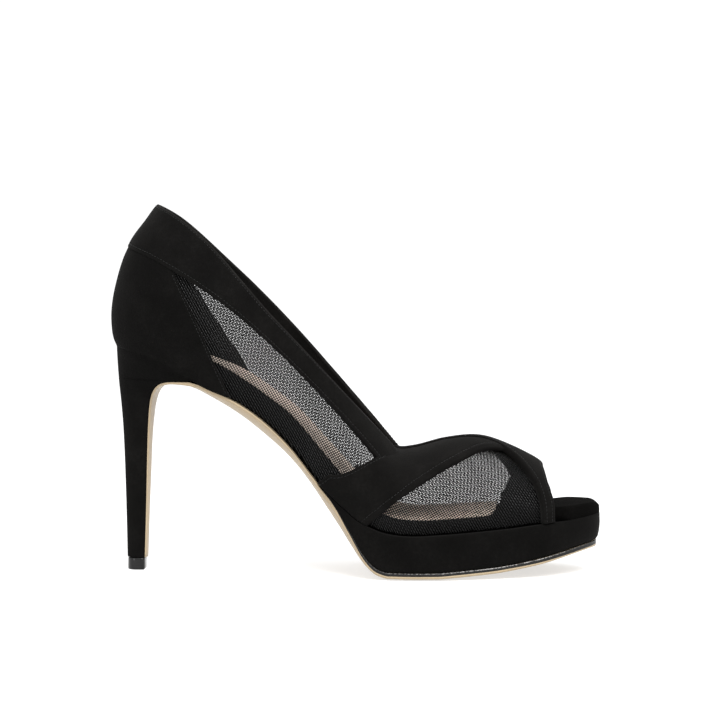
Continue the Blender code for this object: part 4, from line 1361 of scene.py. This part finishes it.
def vamp_border(side):
    """Border of a vamp net by length and by distance up from the feather edge."""
    girth = np.linspace(0.0, VAMP_MESH_GIRTH, 60)
    place = np.linspace(0, CROSSING_ROW, 120)
    rear = np.interp(girth, along_rows(STRAP["front_girth"], place),
                     along_rows(STRAP["front_x"], place)) - MESH_LAP
    place = np.linspace(len(STRAP["rear_x"]) - 1, CROSSING_ROW, 120)
    front = np.interp(girth, 180 - along_rows(STRAP["rear_girth"], place),
                      along_rows(STRAP["rear_x"], place)) + MESH_LAP * FRONT_LAP_SHARE
    places, angles, lengths = girth_table(side)
    runs = []
    for x in (rear, front):
        up = []
        for value, angle in zip(x, girth):
            column = np.array([np.interp(angle, angles, line) for line in lengths])
            up.append(np.interp(value, places, column))
        runs.append(np.column_stack([x, up]))
    return np.concatenate([runs[0], runs[1][::-1]])


# Stitching

def line_at(points, distance, place):
    """Line over a grid at a distance from one of its borders."""
    line = []
    for row, reach in zip(points, distance):
        order = np.argsort(reach)
        line.append([np.interp(place, reach[order], row[order, axis]) for axis in range(3)])
    return np.array(line)


def stitch_capsules(line, normals, sizes):
    """Points and faces of stitches laid end to end along a line."""
    pitch = sizes.stitch_pitch / MILLIMETRE
    length = sizes.stitch_length / MILLIMETRE
    width = sizes.stitch_width / MILLIMETRE
    steps = np.linalg.norm(np.diff(line, axis=0), axis=1)
    reach = np.concatenate([[0.0], np.cumsum(steps)])
    middles = np.arange(pitch / 2, reach[-1], pitch)
    fat = STITCH["fat"] * width / 2
    at = middles[:, None] + STITCH["along"] * length

    def read(values):
        return np.stack([np.interp(at, reach, values[:, axis]) for axis in range(3)], axis=-1)

    normal = unit(read(normals))
    middle = read(line) + normal * STITCH["sink"][:, None]
    side = unit(np.cross(normal, middle[:, -1:] - middle[:, :1] + 0 * middle))
    turn = np.linspace(0, 2 * np.pi, 7)[:6]
    ring = (middle[:, :, None] + fat[:, None, None]
            * (np.cos(turn)[:, None] * side[:, :, None] + np.sin(turn)[:, None] * normal[:, :, None]))
    rings = len(fat)
    corners = np.arange(len(turn))
    base = np.arange(len(middles))[:, None] * rings * len(turn)
    walls = np.concatenate([base + quad for quad in np.array(ring_walls(rings, len(turn)))])
    caps = [base + corners[::-1], base + (rings - 1) * len(turn) + corners]
    return ring.reshape(-1, 3), walls.tolist() + caps[0].tolist() + caps[1].tolist()


def add_stitches(name, lines, sizes, finish):
    points = []
    faces = []
    count = 0
    for line, normals in lines:
        new_points, new_faces = stitch_capsules(line, normals, sizes)
        points.append(new_points)
        faces += [[corner + count for corner in face] for face in new_faces]
        count += len(new_points)
    return add_mesh(name, np.concatenate(points), faces, [finish])


# Operators

class PUMP_OT_studio(bpy.types.Operator):
    """Pale floor, soft lights and the camera of the picture"""

    bl_idname = "pump.studio"
    bl_label = "Studio"

    def execute(self, context):
        scene = context.scene
        scene.view_settings.view_transform = "Standard"
        scene.view_settings.look = "None"
        world = bpy.data.worlds.new("studio_white")
        world.use_nodes = True
        sky = world.node_tree.nodes["Background"]
        sky.inputs["Color"].default_value = (1.0, 1.0, 1.0, 1.0)
        sky.inputs["Strength"].default_value = SKY_STRENGTH
        scene.world = world
        self.add_floor(scene.pump_colours.floor)
        for softbox in SOFTBOXES:
            self.add_softbox(*softbox)
        self.add_camera(scene)
        return {"FINISHED"}

    def add_floor(self, colour):
        finish = Finish("studio_floor")
        cloud = finish.noise(3.0, 2.0, 0.5)
        finish.feed("Base Color", finish.ramp(cloud, (0.3, colour), (0.7, shade(colour, 1.01))))
        finish.set(Roughness=0.9, Specular_IOR_Level=0.0, Emission_Color=(1.0, 1.0, 1.0, 1.0),
                   Emission_Strength=FLOOR_GLOW)
        work = bmesh.new()
        bmesh.ops.create_circle(work, cap_ends=True, segments=96, radius=FLOOR_RADIUS)
        mesh = bpy.data.meshes.new("studio_floor")
        work.to_mesh(mesh)
        work.free()
        mesh.materials.append(finish.material)
        floor = bpy.data.objects.new("studio_floor", mesh)
        bpy.context.scene.collection.objects.link(floor)

    def add_softbox(self, name, place, target, size, power):
        light = bpy.data.lights.new(name, "AREA")
        light.shape = "RECTANGLE"
        light.size, light.size_y = size
        light.energy = power
        lamp = bpy.data.objects.new(name, light)
        lamp.location = place
        lamp.rotation_euler = (Vector(target) - Vector(place)).to_track_quat("-Z", "Y").to_euler()
        bpy.context.scene.collection.objects.link(lamp)

    def add_camera(self, scene):
        azimuth = np.radians(CAMERA_AZIMUTH)
        elevation = np.radians(CAMERA_ELEVATION)
        aim = np.array([np.sin(azimuth) * np.cos(elevation), -np.cos(azimuth) * np.cos(elevation),
                        np.sin(elevation)])
        target = np.array(CAMERA_TARGET) * MILLIMETRE
        lens = bpy.data.cameras.new("picture_camera")
        lens.sensor_width = SENSOR_WIDTH
        lens.lens = SENSOR_WIDTH * POINTS_PER_MILLIMETRE * CAMERA_DISTANCE / PICTURE_WIDTH
        lens.clip_start = 0.01
        lens.clip_end = 30.0
        camera = bpy.data.objects.new("picture_camera", lens)
        camera.location = target + aim * CAMERA_DISTANCE * MILLIMETRE
        camera.rotation_euler = Vector(-aim).to_track_quat("-Z", "Y").to_euler()
        scene.collection.objects.link(camera)
        scene.camera = camera


class PUMP_OT_upper(bpy.types.Operator):
    """Suede counter, collar band and the two crossed straps"""

    bl_idname = "pump.upper"
    bl_label = "Upper"

    def execute(self, context):
        for name in SUEDE_LAYERS:
            outside, inside = suede_panel(name, context.scene.pump_sizes)[:2]
            finishes = suede_pair("counter", 0.74) if name == "counter" else suede_pair()
            turned = 0
            if name == "collar_band":
                # Lighter suede inside the band, and a much lighter one on the turned topline as a
                # painted highlight
                finishes[1:] = [suede_pair("inside", 1.5)[0], suede_pair("turned_edge", 2.1, 0.04)[0]]
                turned = HIGHLIT_TOPLINE_COLUMNS
            seat_piece(add_shell(name, outside, inside, finishes, turned), "suede", "upper")
        return {"FINISHED"}


class PUMP_OT_stitching(bpy.types.Operator):
    """Rows of stitches along the edges of the suede"""

    bl_idname = "pump.stitching"
    bl_label = "Stitching"

    def execute(self, context):
        sizes = context.scene.pump_sizes
        finish = shared_finish("sewing_thread", thread_finish,
                               shade(context.scene.pump_colours.thread, 2.0), 0.12)
        for title, name in (("counter_stitches", "counter"), ("band_stitches", "collar_band"),
                            ("under_strap_stitches", "under_strap"),
                            ("over_strap_stitches", "over_strap")):
            lines = self.stitch_lines(name, sizes)
            seat_piece(add_stitches(title, lines, sizes, finish), "suede")
        return {"FINISHED"}

    def stitch_lines(self, name, sizes):
        """Lines of stitches on a panel, each with its normals; the counter has one on either side."""
        outside, _, normal, reach = suede_panel(name, sizes)
        half = outside.shape[1] // 2
        lines = []
        for edge, (_, _, _, place, _) in SUEDE_EDGES[name].items():
            rows = STITCHED_ROWS.get((name, edge), slice(None))
            parts = [slice(None, half), slice(half, None)] if edge == "front" else [slice(None)]
            for columns in parts:
                away = reach[edge][rows, columns]
                lines.append([line_at(grid[rows, columns], away, place) for grid in (outside, normal)])
        return lines


class PUMP_OT_nets(bpy.types.Operator):
    """Woven net panels behind the four windows"""

    bl_idname = "pump.nets"
    bl_label = "Nets"

    def execute(self, context):
        sizes = context.scene.pump_sizes
        thread = context.scene.pump_colours.thread
        # The two families of threads take a lighter and a darker copy of the thread colour: painted
        # glints and shade across the net
        finishes = [shared_finish("net_warp", thread_finish, shade(thread, 1.3), 0.32),
                    shared_finish("net_weft", thread_finish, shade(thread, 0.7), 0.06)]
        for side, word in zip(SIDES, ("lateral", "medial")):
            for panel, surface, border in (("quarter", quarter_surface(side), quarter_border()),
                                           ("vamp", vamp_surface(side), vamp_border(side))):
                net = woven_net(panel + "_net_" + word, surface, border, sizes, side, finishes)
                seat_piece(net, "net", panel + "_mesh_" + word)
        return {"FINISHED"}


class PUMP_OT_toe_lining(bpy.types.Operator):
    """Opaque lining behind the nets at the toe; on the medial side it reaches further back as a dark
    sheet standing in for shade
    """

    bl_idname = "pump.toe_lining"
    bl_label = "Toe lining"

    def execute(self, context):
        girth = np.linspace(0.0, 180.0, 121)
        angle = np.minimum(girth, 180 - girth)
        rear = np.where(girth < 90, np.interp(angle, *TOE_LINING_LATERAL),
                        np.interp(angle, *TOE_LINING_MEDIAL_WITH_SHADE))
        front = np.interp(angle, *TOE_LINING_FRONT)
        x = rear[:, None] + np.linspace(0, 1, 17) * (front - rear)[:, None]
        grid = vamp_point(x, girth[:, None] + 0 * x)
        outside, inside = layered(grid, TOE_LINING_LAYER, 0.0 * x)[:2]
        lining = suede_pair()[1]
        seat_piece(add_shell("toe_lining", outside, inside, [lining, lining]), "suede")
        return {"FINISHED"}


class PUMP_OT_footbed(bpy.types.Operator):
    """Covered footbed and the tan sock on it"""

    bl_idname = "pump.footbed"
    bl_label = "Footbed"

    def execute(self, context):
        self.add_insole(suede_pair("insole", 0.6, 0.008)[:1])
        # The sock keeps 0.6 of its colour at the rear: painted shade deep under the collar
        leather = shared_finish("tan_leather", leather_finish, context.scene.pump_colours.sock, 0.5,
                                1400.0, 0.0001, 0.4, 0.6)
        self.add_sock([leather])
        return {"FINISHED"}

    def add_insole(self, finishes):
        stations = footbed_run(SEAT_BACK + 0.1, TOE_END - 0.05)
        ease = ease_in(stations, *INSOLE_TOE_RANGE)
        grow = -INSOLE_INSET + ease * (INSOLE_INSET + INSOLE_TOE_GROW)
        rings = [raised(outline(stations, grow - 0.1), lambda x: bottom(x) - 0.9 * GAP)]
        for inset, drop in FOOTBED_WALL:
            rings.append(footbed_edge(outline(stations, grow - inset), drop))
        rings += padded_rings(outline(stations, grow - FOOTBED_TOP_INSET), 0.0,
                              np.linspace(1.0, 0.04, 16))
        insole = add_slab("footbed", rings, finishes)
        seat_piece(insole, "footbed", "insole")

    def add_sock(self, finishes):
        stations = footbed_run(SEAT_BACK + INSOLE_INSET + 2.2, SOCK_FRONT)
        close = come_in(stations, SOCK_FRONT - SOCK_FRONT_ROUND, SOCK_FRONT_ROUND)
        narrowing = (1 - close ** SOCK_FRONT_POWER) ** (1 / SOCK_FRONT_POWER)
        fore = ease_in(stations, *SOCK_FORE_RANGE) * SOCK_FORE_INSET
        middle = centre(stations)
        spreads = np.linspace(1.0, 0.05, 14)
        levels = []
        for inset in (0.0, 0.25, 0.6):
            runs = outline(stations, -INSOLE_INSET - SOCK_INSET - inset - fore)
            for run in runs:
                run[:, 1] = middle + (run[:, 1] - middle) * narrowing
            levels.append(runs)
        rings = padded_rings(levels[0], GAP, spreads)[::-1]
        rings += padded_rings(levels[0], GAP + 0.6 * SOCK_THICKNESS, (1.0,))
        rings += padded_rings(levels[1], GAP + 0.9 * SOCK_THICKNESS, (1.0,))
        rings += padded_rings(levels[2], GAP + SOCK_THICKNESS, spreads)
        seat_piece(add_slab("sock_leather", rings, finishes), "sock", "sock")


class PUMP_OT_platform(bpy.types.Operator):
    """Suede cover of the platform"""

    bl_idname = "pump.platform"
    bl_label = "Platform"

    def execute(self, context):
        stations = sole_run(PLATFORM_START)
        widen = come_in(stations, PLATFORM_START, PLATFORM_BLEND)
        grow = PLATFORM_GROW * (PLATFORM_REAR_SHARE + (1 - PLATFORM_REAR_SHARE) * widen)
        tuck = come_in(stations, *TUCK_RANGE) * TOE_TUCK
        toe = come_in(stations, *PLATFORM_TOE_RANGE)

        def under(x):
            return sole_top(x) + GAP

        def over(x):
            return np.maximum(bottom(x) - GAP, under(x) + PLATFORM_THIN)

        rings = []
        for share, inset, tucked in PLATFORM_WALL:
            kept = 1.0 - TOE_SQUARE * toe if share > PLATFORM_TOP_SHARE else 1.0
            rings.append(raised(outline(stations, grow - inset * kept - tucked * tuck),
                                lambda x, s=share: under(x) + s * (over(x) - under(x))))
        cover = add_slab("platform_cover", rings, suede_pair("cover", 0.78)[:1])
        seat_piece(cover, "platform_suede", "platform")
        return {"FINISHED"}


class PUMP_OT_sole(bpy.types.Operator):
    """Pale leather sole with an inked edge, carried down the front of the heel"""

    bl_idname = "pump.sole"
    bl_label = "Sole"

    def execute(self, context):
        colours = context.scene.pump_colours
        finishes = [shared_finish("pale_leather", leather_finish, colours.sole, 0.42, 1100.0, 0.00006,
                                  0.25),
                    shared_finish("edge_ink", gloss_finish, colours.edge, 0.45, 0.2),
                    shared_finish("edge_bead", bead_finish, colours.edge)]
        sections = self.forefoot()
        sections = self.breast(sections[0][0]) + sections
        rings = [points for points, _ in sections]
        sole = add_loft("sole_leather", rings, finishes, sections[0][1], 1)
        seat_piece(sole, "sole_leather", "outsole")
        return {"FINISHED"}

    def section(self, lateral, medial, top, under, edge, flat, toe=0.0, ink=WAIST_INK):
        """Section of the sole: flat above, an inked wall, then rounded below; towards the toe the
        ink covers more of the wall, and at the waist only a thin line."""
        half = (medial - lateral) / 2
        middle = (medial + lateral) / 2
        left = []
        kinds = []
        for inset, share, kind in SOLE_WALL:
            if kind == 0:
                share = 1 - (1 - share) * (1 - TOE_SQUARE * toe)
            else:
                share = ink * (share + toe * TOE_INK * max(share - BEAD_SHARE, 0.0))
            left.append((inset, top + share * (edge - top)))
            kinds.append(kind)
        points = [(x, lateral + inset, z) for inset, (x, z) in left]
        finish = kinds[1:]
        reach = 1 - UNDERSIDE_INSET / half
        spreads = np.array(SOLE_SPREADS)
        spreads = np.concatenate([spreads, -spreads[::-1]]) * reach
        rise = np.clip((np.abs(spreads) - flat) / (1 - flat), 0, 1) ** UNDERSIDE_POWER
        for spread, lift in zip(spreads, rise):
            x, z = under + lift * (edge - under)
            points.append((x, middle + spread * half, z))
        finish += [0] * (len(spreads) + 1)
        points += [(x, medial - inset, z) for inset, (x, z) in left[::-1]]
        finish += kinds[::-1][:-1] + [0]
        return np.array(points), finish

    def forefoot(self):
        sections = []
        stations = sole_run(SOLE_START)
        left, right = outline(stations, follow(SOLE, "x", "grow", stations))
        for lateral, medial in zip(left, right):
            x = (lateral[0] + medial[0]) / 2
            high = float(sole_top(x))
            low = float(sole_under(x))
            rim = max(low, high - float(follow(SOLE, "x", "edge", x)))
            flat = TREAD_FLAT * come_in(x, *TREAD_RANGE)
            sections.append(self.section(lateral[1], medial[1], np.array([x, high]),
                                         np.array([x, low]), np.array([x, rim]), flat,
                                         float(come_in(x, *TOE_INK_RANGE)),
                                         max(float(come_in(x, *WAIST_INK_RANGE)), WAIST_INK)))
        return sections

    def breast(self, waist_points):
        """Sections up the front of the heel to the waist."""
        rows = np.linspace(0, len(BREAST["x"]) - 1, 75)
        path = np.stack([along_rows(BREAST["x"], rows), along_rows(BREAST["z"], rows)], axis=-1)
        run = unit(np.gradient(path, axis=0))
        square = np.stack([run[:, 1], -run[:, 0]], axis=-1)
        lead = np.abs(waist_points[:, 1].min()), np.abs(waist_points[:, 1].max())
        sections = []
        for place, away, row in zip(path, square, rows):
            half = float(heel_half(float(bottom(place[0]) - place[1]))) - BREAST_INSET
            share = ease_in(place[0], *WAIST_RANGE)
            waist = [half + share * (edge - half) for edge in lead]
            thick = float(along_rows(BREAST["sole_thick"], row))
            inner = place + away * GAP
            outer = place + away * (GAP + thick)
            rim = inner + (outer - inner) * BREAST_RIM
            sections.append(self.section(-waist[0], waist[1], inner, outer, rim, 0.0))
        return sections


class PUMP_OT_heel(bpy.types.Operator):
    """Suede cover of the heel"""

    bl_idname = "pump.heel"
    bl_label = "Heel"

    def execute(self, context):
        lip = BREAST["z"][-1]
        places = np.linspace(0, len(BREAST["x"]) - 1, 300)
        breast_z = along_rows(BREAST["z"], places)
        breast_x = along_rows(BREAST["x"], places)
        share = np.linspace(0.0, 1.0, 33)
        sections = []
        for z in HEEL_LEVELS:
            rear = float(follow(HEEL_BACK, "z", "x", z))
            front = float(np.interp(z, breast_z, breast_x)) if z <= lip else float(seat_x(z))
            middle_depth = bottom((rear + front) / 2) - z
            tightness = float(follow(HEEL_FLARE, "depth", "share", middle_depth))
            turn = share * heel_turn((front - rear) / tightness)
            x = rear + tightness * heel_reach(turn)
            half = heel_half(np.maximum(bottom(x) - z, GAP)) * np.sin(np.minimum(turn, np.pi / 2))
            shrink = HEEL_FOOT_SHRINK * np.clip((HEEL_FOOT_TOP - z) / HEEL_FOOT_RUN, 0, 1) ** 2
            shrink = shrink + HEEL_SEAT_SHRINK * np.clip(1.0 - (bottom(x) - z) / HEEL_SEAT_RUN, 0, 1)
            half = np.maximum(half - shrink, 0.0)
            lateral, medial = [np.stack([x, side * half, z + 0 * x], axis=-1) for side in SIDES]
            sections.append(np.concatenate([lateral, medial[:0:-1]]))
        # The heel's cover darkens up towards the seat: painted shade, not a change in the suede
        cover = add_loft("heel_cover", sections, suede_pair("stem", 0.95, 0.03, 0.55)[:1])
        seat_piece(cover, "heel_suede", "heel")
        return {"FINISHED"}


class PUMP_OT_heel_tip(bpy.types.Operator):
    """Glossy tip under the heel"""

    bl_idname = "pump.heel_tip"
    bl_label = "Heel tip"

    def execute(self, context):
        finish = shared_finish("tip_gloss", gloss_finish, context.scene.pump_colours.tip, 0.16, 0.26)
        turn = np.linspace(0.0, np.pi, 41)
        sections = []
        for z, shrink in TIP_WALL:
            x = TIP_CENTRE - (TIP_REACH - shrink) * np.sin(turn)
            y = (TIP_HALF - shrink) * np.cos(turn)
            front_x = TIP_FRONT - shrink
            corner = [(TIP_CORNER, -TIP_HALF + shrink)]
            corner += [(front_x + ahead, out + shrink) for ahead, out in TIP_BEVEL]
            front = corner + [(front_x, 0.0)] + [(ahead, -out) for ahead, out in corner[::-1]]
            ring = np.concatenate([np.stack([x, y], axis=-1), front])
            sections.append(np.column_stack([ring, np.full(len(ring), z)]))
        seat_piece(add_loft("heel_tip_gloss", sections, [finish]), "tip", "heel_tip")
        return {"FINISHED"}


class PUMP_PT_panel(bpy.types.Panel):
    """Lists the pump's pieces and its sizes and colours"""

    bl_idname = "PUMP_PT_panel"
    bl_label = "Platform pump"
    bl_space_type = "VIEW_3D"
    bl_region_type = "UI"
    bl_category = "Pump"

    def draw(self, context):
        layout = self.layout
        for group in (context.scene.pump_sizes, context.scene.pump_colours):
            for name in group.__annotations__:
                layout.prop(group, name)
        for operator in OPERATORS:
            layout.operator(operator.bl_idname)


OPERATORS = (PUMP_OT_studio, PUMP_OT_upper, PUMP_OT_stitching, PUMP_OT_nets, PUMP_OT_toe_lining,
             PUMP_OT_footbed, PUMP_OT_platform, PUMP_OT_sole, PUMP_OT_heel, PUMP_OT_heel_tip)
CLASSES = (PumpSizes, PumpColours, *OPERATORS, PUMP_PT_panel)


def register():
    for item in CLASSES:
        bpy.utils.register_class(item)
    bpy.types.Scene.pump_sizes = bpy.props.PointerProperty(type=PumpSizes)
    bpy.types.Scene.pump_colours = bpy.props.PointerProperty(type=PumpColours)


def unregister():
    del bpy.types.Scene.pump_colours
    del bpy.types.Scene.pump_sizes
    for item in reversed(CLASSES):
        bpy.utils.unregister_class(item)


def main():
    register()
    bpy.ops.pump.studio()
    bpy.ops.pump.upper()
    bpy.ops.pump.stitching()
    bpy.ops.pump.nets()
    bpy.ops.pump.toe_lining()
    bpy.ops.pump.footbed()
    bpy.ops.pump.platform()
    bpy.ops.pump.sole()
    bpy.ops.pump.heel()
    bpy.ops.pump.heel_tip()


if __name__ == "__main__":
    main()
